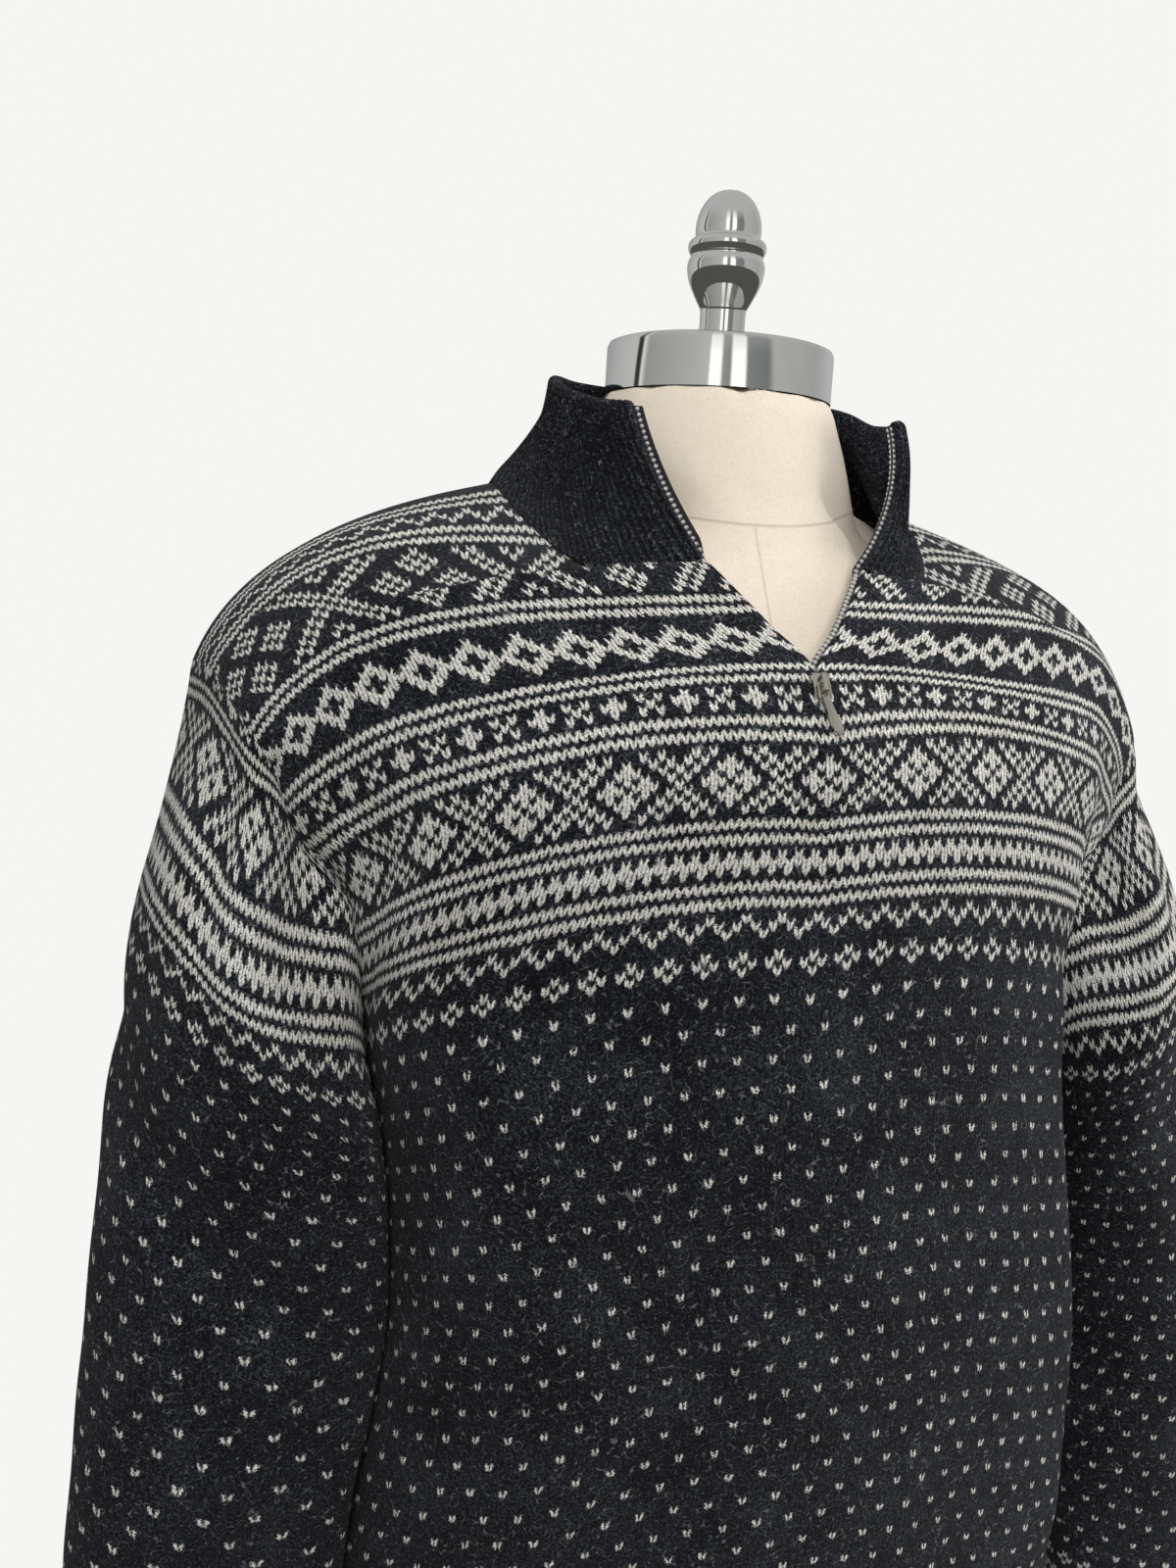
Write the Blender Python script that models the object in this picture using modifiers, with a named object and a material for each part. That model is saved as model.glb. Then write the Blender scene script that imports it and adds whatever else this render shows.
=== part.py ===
"""A quarter-zip knitted sweater worn by a limbless dress form on a pole and round base.

Sizes are in centimetres, measured from the middle of the neck cap's lower rim: X to the
viewer's right, Y to the back, Z up. place() turns them into metres above the floor.
A panel is worked out from its knitted layout: u runs across it in centimetres from the
centre line, and level runs up it in centimetres from the course under the last pattern band.
"""
import math

import bmesh
import bpy
import numpy as np
from mathutils.bvhtree import BVHTree

# Heights and thicknesses.
RIM_ABOVE_FLOOR = 145.0
POLE_Y = -2.5
KNIT = 0.2
COLLAR_KNIT = 0.28
TAPE = 0.1
RIB_RISE = 0.1
SEAM_GAP = 0.016
SLIT_GAP = 0.05
TAPE_SHOWS = 0.34
TAPE_HIDDEN = 1.0
TAPE_BEHIND = 0.085
FORM_CLEARANCE = 0.06

# The knitted layout: half a panel's width, half the neck's, and the levels of the seams.
HALF_WIDTH = 27.0
NECK_HALF = 9.5
HEM_LEVEL = -33.7
UNDERARM = 4.2
TOP = 30.3
FRONT_NECK = 22.8
BACK_NECK = 25.5
SLIDER_LEVEL = 14.8
ARMHOLE = 26.1
SLEEVE_LENGTH = 53.0
HEM_RIB = 6.0
CUFF_RIB = 7.0

# How many cells each piece is divided into.
NECK_CELLS = 6
SHOULDER_CELLS = 10
LOW_ROWS = 9
ARM_ROWS = 12
SLIT_ROW = 5
SLEEVE_ROWS = 13
RIBS_A_CELL = 3
COLLAR_ROWS = 3

# The front's centre line; above the slider it is the edge of the open zip.
#    level     x      y      z
FRONT_EDGE = (
    (-33.7, 0.0, -12.8, -61.0),
    (-20.0, 0.0, -14.0, -47.4),
    (-8.0, 0.0, -15.0, -35.3),
    (0.0, 0.0, -15.4, -27.3),
    (4.2, 0.0, -15.6, -23.1),
    (7.5, 0.0, -15.7, -19.8),
    (12.2, 0.0, -15.2, -15.6),
    (15.0, 0.0, -13.7, -13.1),
    (18.5, 1.7, -12.2, -11.1),
    (22.8, 4.0, -9.6, -8.3),
)
# The back's centre line.
#    level     x      y      z
BACK_EDGE = (
    (-33.7, 0.0, 8.6, -65.5),
    (-20.0, 0.0, 8.9, -51.6),
    (-8.0, 0.0, 9.5, -39.4),
    (0.0, 0.0, 10.1, -31.3),
    (7.5, 0.0, 10.6, -23.7),
    (15.0, 0.0, 10.7, -16.1),
    (22.8, 0.0, 9.5, -8.1),
    (25.5, 0.0, 8.7, -5.4),
)
# Each course runs from the centre line past a bend point to the side seam or armhole.
#    level   lead  lead's  bend   bend    bend   seam   seam   seam
#                   drop    x      y       z      x      y      z
FRONT_COURSES = (
    (-33.7, 11.5, 0.8, 21.8, -8.5, -65.0, 21.4, -1.0, -66.0),
    (-20.0, 11.5, 0.7, 20.3, -10.0, -51.8, 19.8, -1.5, -53.4),
    (-8.0, 11.3, 0.5, 19.3, -11.4, -40.2, 18.6, -2.0, -42.4),
    (0.0, 11.2, 0.3, 19.3, -11.9, -32.8, 18.2, -2.4, -35.2),
    (4.2, 11.0, 0.5, 19.3, -12.2, -29.0, 19.3, -3.0, -31.5),
    (7.5, 11.1, 0.4, 19.0, -12.2, -25.6, 19.2, -5.3, -28.1),
    (12.2, 11.3, 0.3, 18.4, -11.8, -20.8, 20.0, -6.6, -23.6),
    (15.0, 11.2, 0.8, 18.9, -11.0, -17.6, 21.2, -6.2, -21.6),
    (18.5, 9.8, 1.5, 19.4, -9.0, -13.5, 22.2, -5.9, -18.9),
    (22.8, 8.3, 1.0, 20.2, -6.3, -10.1, 23.7, -5.0, -16.6),
    (26.5, 7.0, 0.4, 21.7, -2.7, -8.9, 24.8, -1.5, -14.8),
    (30.3, 6.2, 1.8, 23.4, 2.6, -8.9, 25.4, 3.6, -14.6),
)
BACK_COURSES = (
    (-33.7, 11.5, 0.2, 21.8, 6.5, -66.0, 21.4, -1.0, -66.0),
    (-20.0, 11.5, 0.2, 20.3, 7.0, -53.4, 19.8, -1.5, -53.4),
    (-8.0, 11.0, 0.3, 19.3, 7.6, -42.2, 18.6, -2.0, -42.4),
    (0.0, 11.0, 0.4, 19.2, 8.0, -34.9, 18.2, -2.4, -35.2),
    (4.2, 11.0, 0.5, 19.2, 8.4, -31.0, 19.3, -3.0, -31.5),
    (7.5, 11.0, 0.6, 19.4, 8.8, -28.0, 19.4, 0.2, -29.9),
    (12.2, 11.0, 0.7, 19.8, 9.4, -23.8, 20.1, 4.2, -26.8),
    (15.0, 11.0, 0.8, 20.2, 9.4, -20.6, 20.9, 5.8, -24.6),
    (18.5, 11.0, 0.9, 20.6, 9.2, -17.2, 22.0, 6.9, -21.6),
    (22.8, 10.0, 1.0, 21.2, 8.2, -13.2, 23.5, 6.4, -18.6),
    (26.5, 9.0, 1.2, 22.2, 6.4, -10.8, 24.7, 5.2, -16.3),
    (30.3, 6.2, 1.8, 23.4, 2.6, -8.9, 25.4, 3.6, -14.6),
)
# Rings of a sleeve: its outermost point, its innermost point and half its depth.
#    down    outer  outer   outer   inner  inner   inner  half
#             x      y       z       x      y       z     depth
SLEEVE_RINGS = (
    (0.0, 25.4, 1.0, -14.6, 17.9, -3.2, -31.8, 9.0),
    (8.0, 27.4, -1.2, -23.6, 18.6, -3.0, -35.4, 8.2),
    (15.0, 28.6, -1.2, -29.8, 17.4, -2.6, -40.0, 7.2),
    (25.0, 29.4, -2.0, -39.6, 17.6, -2.2, -48.0, 5.6),
    (40.0, 30.4, -2.6, -55.0, 19.0, -2.5, -60.9, 4.2),
    (53.0, 30.8, -2.6, -68.6, 21.2, -2.4, -71.4, 3.6),
)
# Soft folds: where each begins and ends on the layout, its half width and its height.
#    across  level   across  level  width  height
FRONT_FOLDS = (
    (-22.6, 16.5, -24.2, 3.0, 1.8, -0.35),
    (22.6, 16.5, 24.2, 3.0, 1.8, -0.35),
    (-15.5, 1.0, -13.5, -27.0, 3.0, 0.45),
    (17.5, 4.0, 19.0, -30.0, 2.6, 0.5),
    (-6.0, -10.0, -8.0, -33.0, 3.5, -0.35),
    (8.0, -8.0, 11.0, -33.0, 3.5, -0.4),
)
BACK_FOLDS = (
    (-14.0, 20.0, -19.0, 4.0, 2.6, -0.4),
    (14.0, 20.0, 19.0, 4.0, 2.6, -0.4),
    (-9.0, 2.0, -11.0, -30.0, 3.4, 0.5),
    (4.0, 4.0, 3.0, -31.0, 3.4, -0.4),
    (13.0, 0.0, 15.0, -31.0, 3.2, 0.45),
)
#    across  down   across  down  width  height
SLEEVE_FOLDS = (
    (7.0, 2.0, 9.0, 12.0, 1.8, -0.45),
    (-3.0, 15.0, 14.0, 26.0, 2.4, -0.45),
    (-16.0, 9.0, -6.0, 22.0, 2.4, -0.4),
    (14.0, 34.0, 2.0, 42.0, 2.4, 0.35),
    (-14.0, 38.0, -2.0, 47.0, 2.4, -0.35),
)
# The dress form, in rings: height, half width, front, back and squareness.
FORM_RINGS = (
    (0.0, 5.7, -5.7, 5.7, 2.0),
    (-1.5, 6.4, -6.4, 6.3, 2.0),
    (-4.0, 7.2, -7.2, 6.9, 2.0),
    (-5.4, 8.8, -7.6, 7.2, 1.9),
    (-6.2, 13.6, -7.9, 7.5, 1.6),
    (-7.0, 17.0, -8.3, 7.8, 1.5),
    (-7.9, 18.8, -8.8, 8.0, 1.6),
    (-9.4, 19.3, -9.7, 8.4, 1.75),
    (-11.4, 19.4, -11.0, 8.7, 2.0),
    (-14.0, 19.3, -12.4, 9.1, 2.2),
    (-17.5, 18.6, -13.4, 9.3, 2.3),
    (-22.0, 17.2, -14.2, 9.3, 2.4),
    (-28.0, 16.0, -14.0, 8.9, 2.4),
    (-36.0, 14.6, -12.2, 8.0, 2.3),
    (-46.0, 13.4, -10.4, 7.2, 2.2),
    (-57.0, 14.4, -10.2, 7.0, 2.2),
    (-68.0, 15.2, -10.0, 6.8, 2.2),
    (-79.0, 15.0, -9.8, 6.8, 2.2),
    (-80.0, 14.4, -9.2, 6.2, 2.2),
)
FORM_SIDES = 32
# Turned metal pieces: radius and height, from the top down.
FINIAL_PROFILE = (
    (0.0, 10.25), (0.62, 10.15), (1.18, 9.75), (1.56, 9.05), (1.68, 8.35), (1.62, 7.85),
    (1.92, 7.7), (2.0, 7.4), (1.9, 7.1), (1.78, 6.95), (1.92, 6.75), (1.98, 6.4),
    (1.85, 5.7), (1.45, 4.9), (1.2, 4.45), (1.15, 4.3), (1.15, 2.53), (0.0, 2.53),
)
CAP_PROFILE = (
    (0.0, 2.5), (5.45, 2.5), (5.66, 2.42), (5.75, 2.2), (5.75, 0.1), (5.7, 0.03), (0.0, 0.03),
)
# The stand, its heights above the floor.
FORM_PLATE_PROFILE = ((0.0, 64.97), (7.5, 64.97), (7.8, 64.7), (7.8, 64.0), (2.6, 63.4), (2.4, 61.0), (0.0, 61.0))
POLE_RADIUS = 1.6
POLE_HEIGHTS = (3.03, 60.97)
BASE_PROFILE = ((0.0, 3.0), (2.6, 3.0), (3.0, 2.2), (14.5, 1.3), (16.6, 0.9), (17.0, 0.5), (17.0, 0.0), (0.0, 0.0))

# The slider and its pull, in millimetres along the zip, out from it and across it.
PLATE_SIZE = (8.0, 11.0, 1.8)
BRIDGE_LENGTH = 8.4
BRIDGE_WIDTH = 2.4
BRIDGE_RISE = 3.6
BRIDGE_BAR = 1.0
SLIDER_LIFT = 0.06
PIVOT_RISE = 1.5
PULL_REST = 0.05
LOOP_WIRE = 0.5
LOOP_CORNER = 0.9
LOOP_HALF_WIDTH = 2.7
LOOP_DROP = 7.2
EYE_RADIUS = 0.85
TAB_LEAN = 17.0
#    down   width  depth
PULL_SECTIONS = (
    (-1.5, 3.2, 1.6),
    (-0.8, 3.4, 2.6),
    (1.0, 3.4, 2.6),
    (3.0, 3.6, 1.9),
    (12.5, 4.9, 1.9),
    (15.0, 4.4, 2.6),
    (17.0, 2.6, 1.2),
)

for leftover in list(bpy.data.objects):
    bpy.data.objects.remove(leftover, do_unlink=True)
PARTS = bpy.data.collections.new("quarter_zip_sweater_on_dress_form")
CUTTERS = bpy.data.collections.new("cutters")
bpy.context.scene.collection.children.link(PARTS)
bpy.context.scene.collection.children.link(CUTTERS)


def finish(name, hex_colour, roughness, metallic=0.0):
    """A plain surface of one sRGB colour."""
    material = bpy.data.materials.new(name)
    material.use_nodes = True
    shader = material.node_tree.nodes["Principled BSDF"]
    srgb = [int(hex_colour[k:k + 2], 16) / 255 for k in (1, 3, 5)]
    linear = [c / 12.92 if c < 0.04045 else ((c + 0.055) / 1.055) ** 2.4 for c in srgb]
    shader.inputs["Base Color"].default_value = (*linear, 1.0)
    shader.inputs["Roughness"].default_value = roughness
    shader.inputs["Metallic"].default_value = metallic
    return material


def place(points):
    """Centimetres from the neck rim to metres above the floor."""
    return (np.asarray(points, float) - (0.0, POLE_Y, -RIM_ABOVE_FLOOR)) * 0.01


def ease(x):
    """A soft step from 0 to 1."""
    x = np.clip(x, 0.0, 1.0)
    return x * x * (3.0 - 2.0 * x)


def through(table, x):
    """A smooth curve through a table whose first column is x: a cubic from row to row."""
    table = np.array(table, float)
    at, rows = table[:, 0], table[:, 1:]
    slopes = np.gradient(rows, at, axis=0)
    x = np.clip(np.asarray(x, float), at[0], at[-1])
    i = np.clip(np.searchsorted(at, x, side="right") - 1, 0, len(at) - 2)
    step = (at[i + 1] - at[i])[..., None]
    s = (x[..., None] - at[i][..., None]) / step
    value = (2 * s ** 3 - 3 * s ** 2 + 1) * rows[i] + (3 * s ** 2 - 2 * s ** 3) * rows[i + 1]
    return value + step * ((s ** 3 - 2 * s ** 2 + s) * slopes[i] + (s ** 3 - s ** 2) * slopes[i + 1])


def sway(z):
    """How far the loose lower body hangs towards the viewer's right."""
    return 3.0 * ease((-26.0 - z) / 24.0)


def neck_base(face):
    return FRONT_NECK if face < 0 else BACK_NECK


def neck_angle(level, face):
    """0 at the middle of the neckline, a quarter turn at the shoulder."""
    rise = (level - neck_base(face)) / (TOP - neck_base(face))
    return np.arccos(1.0 - np.clip(rise, 0.0, 1.0))


def neckline(angle, face):
    """The neck seam: a drooping quarter oval in front, a level one behind."""
    c, s = np.cos(angle), np.sin(angle)
    if face < 0:
        return np.stack([4.0 + 7.2 * s, 1.4 - 11.0 * c, -5.0 - 3.3 * c - 4.0 * s * c * c], -1)
    return np.stack([11.2 * s, 1.4 + 7.3 * c, -5.0 - 0.4 * c], -1)


def bezier(t, ends):
    """A cubic from the first point to the last, drawn by the two between them."""
    t = t[..., None]
    a, b, c, d = ends
    return (1 - t) ** 3 * a + 3 * t * (1 - t) ** 2 * b + 3 * t * t * (1 - t) * c + t ** 3 * d


def folded(table, across, level):
    """The height of the soft folds: each a bell across its line, fading at its ends."""
    height = np.zeros(np.shape(across))
    for a0, l0, a1, l1, width, rise in table:
        run = np.array([a1 - a0, l1 - l0])
        length = np.hypot(*run)
        along = ((across - a0) * run[0] + (level - l0) * run[1]) / length
        beside = ((across - a0) * run[1] - (level - l0) * run[0]) / length
        ends = ease(along / 5.0 + 0.5) * ease((length - along) / 5.0 + 0.5)
        height += rise * np.exp(-((beside / width) ** 2)) * ends
    return height


def panel(u, level, face):
    """A point of the front (face -1) or back (face 1): each course is a cubic from the
    centre line past its bend point to the seam, walked by its own length."""
    side = np.where(u < 0, -1.0, 1.0)
    u = np.abs(u)
    start = through(FRONT_EDGE if face < 0 else BACK_EDGE, level)
    start[..., 0] = np.where(level < SLIDER_LEVEL, 0.0, start[..., 0])
    angle = neck_angle(level, face)
    in_neck = level > neck_base(face)
    start[in_neck] = neckline(angle, face)[in_neck]
    first = NECK_HALF * np.sin(angle)
    row = through(FRONT_COURSES if face < 0 else BACK_COURSES, level)
    lead = np.stack([row[..., 0], 0.0 * level, -row[..., 1]], -1)
    ends = (start, start + lead, row[..., 2:5], row[..., 5:8])
    steps = np.linspace(0.0, 1.0, 33)
    walked = bezier(np.broadcast_to(steps, level.shape + (33,)), [e[..., None, :] for e in ends])
    lengths = np.cumsum(np.linalg.norm(np.diff(walked, axis=-2), axis=-1), axis=-1)
    lengths = np.concatenate([np.zeros(level.shape + (1,)), lengths], -1)
    goal = np.clip((u - first) / (HALF_WIDTH - first), 0.0, 1.0) * lengths[..., -1]
    i = np.clip((lengths < goal[..., None]).sum(-1) - 1, 0, 31)[..., None]
    low = np.take_along_axis(lengths, i, -1)[..., 0]
    high = np.take_along_axis(lengths, i + 1, -1)[..., 0]
    point = bezier((i[..., 0] + (goal - low) / (high - low)) / 32.0, ends)
    point[..., 0] = point[..., 0] * side + sway(point[..., 2])
    return point


def armhole(across):
    """The armhole seam: 0 at the shoulder, down the front for +, down the back for -."""
    level = TOP - np.abs(across) * (TOP - UNDERARM) / ARMHOLE
    front = through(FRONT_COURSES, level)[..., 5:8]
    back = through(BACK_COURSES, level)[..., 5:8]
    return np.where((across >= 0)[..., None], front, back)


def sleeve(across, down, side):
    """A sleeve: the armhole seam hangs down and turns into tilted ovals."""
    ring = through(SLEEVE_RINGS, down)
    turn = across / ARMHOLE * math.pi
    outer, inner, depth = ring[..., 0:3], ring[..., 3:6], ring[..., 6]
    point = (outer + inner) / 2 + (outer - inner) / 2 * np.cos(turn)[..., None]
    point[..., 1] -= depth * np.sin(turn)
    point[..., 0] = point[..., 0] * side + (1 + side) * sway(point[..., 2])
    seam = armhole(across)
    seam[..., 0] = seam[..., 0] * side + sway(seam[..., 2])
    seam[..., 0] += side * 0.17 * down * (1 - np.cos(turn))
    seam[..., 2] -= 0.75 * down
    blend = ease(down / 9.4)[..., None]
    return seam * (1 - blend) + point * blend


def cuff(across, fall, side):
    """The cuff: the sleeve's last ring drawn in at once, then straight down. fall is 0 to 1."""
    ring = sleeve(across, np.full(across.shape, SLEEVE_LENGTH), side)
    middle = ring.mean(axis=-2, keepdims=True)
    narrow = 1.0 - 0.2 * ease(fall / 0.25)[..., None]
    tilt = np.array([1.0, 1.0, 0.6])
    point = middle + (ring - middle) * (1 + (narrow * tilt - 1) * ease(fall * 4)[..., None])
    point[..., 2] -= CUFF_RIB * fall
    return point


def collar_top(q):
    """The collar's upper edge, from q = 0 at the back to 1 or -1 at the zip."""
    turn = np.radians(135.3) * np.abs(q)
    depth = 6.8 + 3.2 * ease((turn - 1.2) / 1.15)
    z = 1.0 - 0.5 * (1 - np.cos(turn)) - 1.55 * ease((turn - 1.3) / 1.06)
    return np.stack([9.1 * np.sin(turn), 0.4 + depth * np.cos(turn), z], -1)


def collar_base(q):
    """The neck seam as the collar goes round it, in straight steps of a panel's cell."""
    cells = np.abs(q) * 2 * NECK_CELLS
    knots = np.arange(2 * NECK_CELLS + 1)
    front = knots >= NECK_CELLS
    angle = np.where(front, 2 * NECK_CELLS - knots, knots) * (math.pi / 2 / NECK_CELLS)
    corners = np.where(front[:, None], neckline(angle, -1), neckline(angle, 1))
    return np.stack([np.interp(cells, knots, corners[:, k]) for k in range(3)], -1)


def collar(q, rise):
    """The collar: from the neck seam it turns up and in to its upper edge. rise is 0 to 1."""
    base, top = collar_base(q), collar_top(q)
    lean = np.array([0.12, 0.12, 0.5]) * np.ones(base.shape)
    lean[..., 1] += 0.38 * ease((np.abs(q) - 0.7) / 0.3)
    bend = top + lean * (base - top)
    r = rise[..., None]
    point = (1 - r) ** 2 * base + 2 * r * (1 - r) * bend + r * r * top
    point[..., 0] *= np.where(q < 0, -1.0, 1.0)
    return point


def facing(grid, wrap=False):
    """Normals of a grid of points: the slope along a row crossed with the slope up it."""
    if wrap:
        padded = np.concatenate([grid[:, -2:-1], grid, grid[:, 1:2]], axis=1)
        along = np.gradient(padded, axis=1)[:, 1:-1]
    else:
        along = np.gradient(grid, axis=1)
    normal = np.cross(along, np.gradient(grid, axis=0))
    return normal / np.linalg.norm(normal, axis=-1, keepdims=True)


def lean_together(pieces):
    """Points that coincide lean their walls the same way, whichever pieces they are of."""
    points = np.concatenate([grid.reshape(-1, 3) for grid, normal in pieces])
    normals = np.concatenate([normal.reshape(-1, 3) for grid, normal in pieces])
    spot = np.unique(np.round(points * 997.0), axis=0, return_inverse=True)[1].reshape(-1)
    total = np.zeros((spot.max() + 1, 3))
    np.add.at(total, spot, normals)
    total /= np.linalg.norm(total, axis=-1, keepdims=True)
    first = 0
    for grid, normal in pieces:
        count = grid.shape[0] * grid.shape[1]
        normal[...] = total[spot[first:first + count]].reshape(normal.shape)
        first += count


def pulled_in(grid, normal, sign, wrap=False, gaps=None):
    """Moves a piece's edge inwards, square to the edge, by half a seam's gap."""
    rows, cols = grid.shape[:2]
    grid = grid.copy()
    if wrap:
        loops = [[(0, c) for c in range(cols - 1)], [(rows - 1, c) for c in range(cols - 2, -1, -1)]]
    else:
        loop = [(0, c) for c in range(cols)] + [(r, cols - 1) for r in range(1, rows)]
        loop += [(rows - 1, c) for c in range(cols - 2, -1, -1)]
        loops = [loop + [(r, 0) for r in range(rows - 2, 0, -1)]]
    moved = grid.copy()
    for loop in loops:
        r, c = np.array(loop).T
        points = grid[r, c]
        run = np.roll(points, -1, axis=0) - np.roll(points, 1, axis=0)
        inward = sign * np.cross(normal[r, c], run)
        inward /= np.linalg.norm(inward, axis=-1, keepdims=True)
        gap = np.full(len(loop), SEAM_GAP) if gaps is None else gaps[r, c]
        moved[r, c] = points + inward * gap[:, None]
    if wrap:
        moved[:, -1] = moved[:, 0]
    return moved


def add_mesh(name, points, faces, material, smooth=True, origin=None):
    """An object of its own, its points given in centimetres from the neck rim."""
    at = np.zeros(3) if origin is None else place(origin)
    mesh = bpy.data.meshes.new(name)
    mesh.from_pydata([tuple(p) for p in place(points) - at], [], faces)
    shape = bmesh.new()
    shape.from_mesh(mesh)
    bmesh.ops.delete(shape, geom=[v for v in shape.verts if not v.link_faces], context="VERTS")
    bmesh.ops.recalc_face_normals(shape, faces=shape.faces)
    shape.to_mesh(mesh)
    shape.free()
    if smooth:
        mesh.shade_smooth()
        mesh.set_sharp_from_angle(angle=math.radians(50))
    mesh.materials.append(material)
    made = bpy.data.objects.new(name, mesh)
    made.location = at
    PARTS.objects.link(made)
    return made


def triangles(grid, index=None, parted=None):
    """Two triangles a cell, cut across its shorter diagonal. No cell spans a parted column."""
    if index is None:
        index = np.arange(grid.shape[0] * grid.shape[1]).reshape(grid.shape[:2])
    cells = np.stack([index[:-1, :-1], index[:-1, 1:], index[1:, 1:], index[1:, :-1]], -1)
    if parted is not None:
        cells = np.delete(cells, parted, axis=1)
    a, b, c, d = cells.reshape(-1, 4).T
    flat = grid.reshape(-1, 3)
    across = np.linalg.norm(flat[a] - flat[c], axis=1) <= np.linalg.norm(flat[b] - flat[d], axis=1)
    first = np.where(across[:, None], np.stack([a, b, c], 1), np.stack([a, b, d], 1))
    second = np.where(across[:, None], np.stack([a, c, d], 1), np.stack([b, c, d], 1))
    return [tuple(face) for face in np.concatenate([first, second]).tolist()]


def wall(name, grid, normal, thickness, material, index=None, raised=0.0, parted=None):
    """Cloth as a closed wall: the grid moved out and in along its normals, and a rim
    along every edge that only one triangle uses."""
    count = grid.shape[0] * grid.shape[1]
    outer = (grid + normal * (thickness / 2 + np.asarray(raised))[..., None]).reshape(-1, 3)
    inner = (grid - normal * thickness / 2).reshape(-1, 3)
    faces = triangles(grid, index, parted)
    used = {(face[k], face[(k + 1) % 3]) for face in faces for k in range(3)}
    rim = [(b, a, a + count, b + count) for a, b in sorted(used) if (b, a) not in used]
    inside = [tuple(k + count for k in reversed(face)) for face in faces]
    return add_mesh(name, np.concatenate([outer, inner]), faces + inside + rim, material)


def tube_index(rows, cols):
    """A tube's last column is its first."""
    index = np.arange(rows * cols).reshape(rows, cols)
    index[:, -1] = index[:, 0]
    return index


def panel_layout(face):
    """Where the grid's points lie on the layout: even below the underarm, and above it
    spread so that the top row follows the neckline and the shoulder."""
    angle = np.linspace(0.0, math.pi / 2, NECK_CELLS + 1)
    shoulder = np.linspace(NECK_HALF, HALF_WIDTH, SHOULDER_CELLS + 1)[1:]
    top_u = np.concatenate([NECK_HALF * np.sin(angle), shoulder])
    low, high = neck_base(face), TOP
    top_level = np.concatenate([low + (high - low) * (1 - np.cos(angle)), np.full(SHOULDER_CELLS, TOP)])
    even = np.linspace(0.0, HALF_WIDTH, len(top_u))
    climb = np.linspace(0.0, 1.0, ARM_ROWS + 1)[:, None]
    upper_u = even + (top_u - even) * ease(climb)
    upper_level = UNDERARM + (top_level - UNDERARM) * climb
    low_level = np.linspace(HEM_LEVEL, UNDERARM, LOW_ROWS + 1)[:-1, None]
    u = np.concatenate([np.tile(even, (LOW_ROWS, 1)), upper_u])
    level = np.concatenate([np.tile(low_level, (1, len(even))), upper_level])
    return u, level


def body_grids(face, folds):
    """The two halves of a panel, as grids that run from left to right, with their normals."""
    u, level = panel_layout(face)
    halves = []
    for side in (-1, 1):
        across = side * u[:, ::side]
        grid = panel(across, level[:, ::side], face)
        if side < 0:
            grid[..., 0] = np.where(across == 0, 2 * sway(grid[..., 2]) - grid[..., 0], grid[..., 0])
        fade = ease((HALF_WIDTH - np.abs(across)) / 2.0) * ease((level[:, ::side] - HEM_LEVEL) / 4.0)
        height = folded(folds, across, level[:, ::side]) * fade
        grid = grid - face * facing(grid) * height[..., None]
        halves.append([grid, -face * facing(grid)])
    return halves


def make_garment(knit, rib, tape):
    """All the cloth: worked out first, leant together at the seams, then given its walls."""
    front, back = body_grids(-1, FRONT_FOLDS), body_grids(1, BACK_FOLDS)
    sleeves = {}
    across = np.linspace(-ARMHOLE, ARMHOLE, 2 * ARM_ROWS + 1)
    down = np.linspace(0.0, 1.0, SLEEVE_ROWS + 1) ** 1.15 * SLEEVE_LENGTH
    for side in (-1, 1):
        w, s = np.meshgrid(across, down)
        grid = sleeve(w, s, side)
        normal = side * facing(grid, wrap=True)
        fade = ease(s / 3.0) * ease((SLEEVE_LENGTH - s) / 4.0) * ease((ARMHOLE - np.abs(w)) / 3.0)
        grid = grid + normal * (folded(SLEEVE_FOLDS, w, s) * fade)[..., None]
        sleeves[side] = [grid, side * facing(grid, wrap=True)]
    q, rise = np.meshgrid(np.linspace(-1.0, 1.0, 8 * NECK_CELLS * RIBS_A_CELL + 1),
                          np.linspace(0.0, 1.0, COLLAR_ROWS + 1))
    neck = collar(q, rise)
    neck_normal = -facing(neck)

    lean_together(front + back + [sleeves[-1], sleeves[1], [neck, neck_normal]])
    knots = np.arange(0, q.shape[1], 2 * RIBS_A_CELL)
    for k in range(3):
        neck_normal[0, :, k] = np.interp(np.arange(q.shape[1]), knots, neck_normal[0, knots, k])

    make_front(front, knit)
    make_back(back, knit)
    make_hem(front, back, rib)
    for side, name in ((-1, "right"), (1, "left")):
        grid, normal = sleeves[side]
        pulled = pulled_in(grid, normal, side, wrap=True)
        wall("sleeve_" + name, pulled, normal, KNIT, knit, tube_index(*grid.shape[:2]))
        make_cuff("cuff_" + name, grid[-1], normal[-1], side, rib)
    ribs = np.where(np.arange(q.shape[1]) % 2 == 1, RIB_RISE, 0.0) * np.minimum(rise * COLLAR_ROWS, 1.0)
    pulled = pulled_in(neck, neck_normal, -1, gaps=np.full(q.shape, SEAM_GAP * 1.3))
    wall("collar", pulled, neck_normal, COLLAR_KNIT, rib, raised=ribs)
    for half, side, name in ((front[0], -1, "right"), (front[1], 1, "left")):
        make_tape("zip_tape_" + name, side, half, [neck, neck_normal], tape)
    return front + back + [[neck, neck_normal]]


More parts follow.
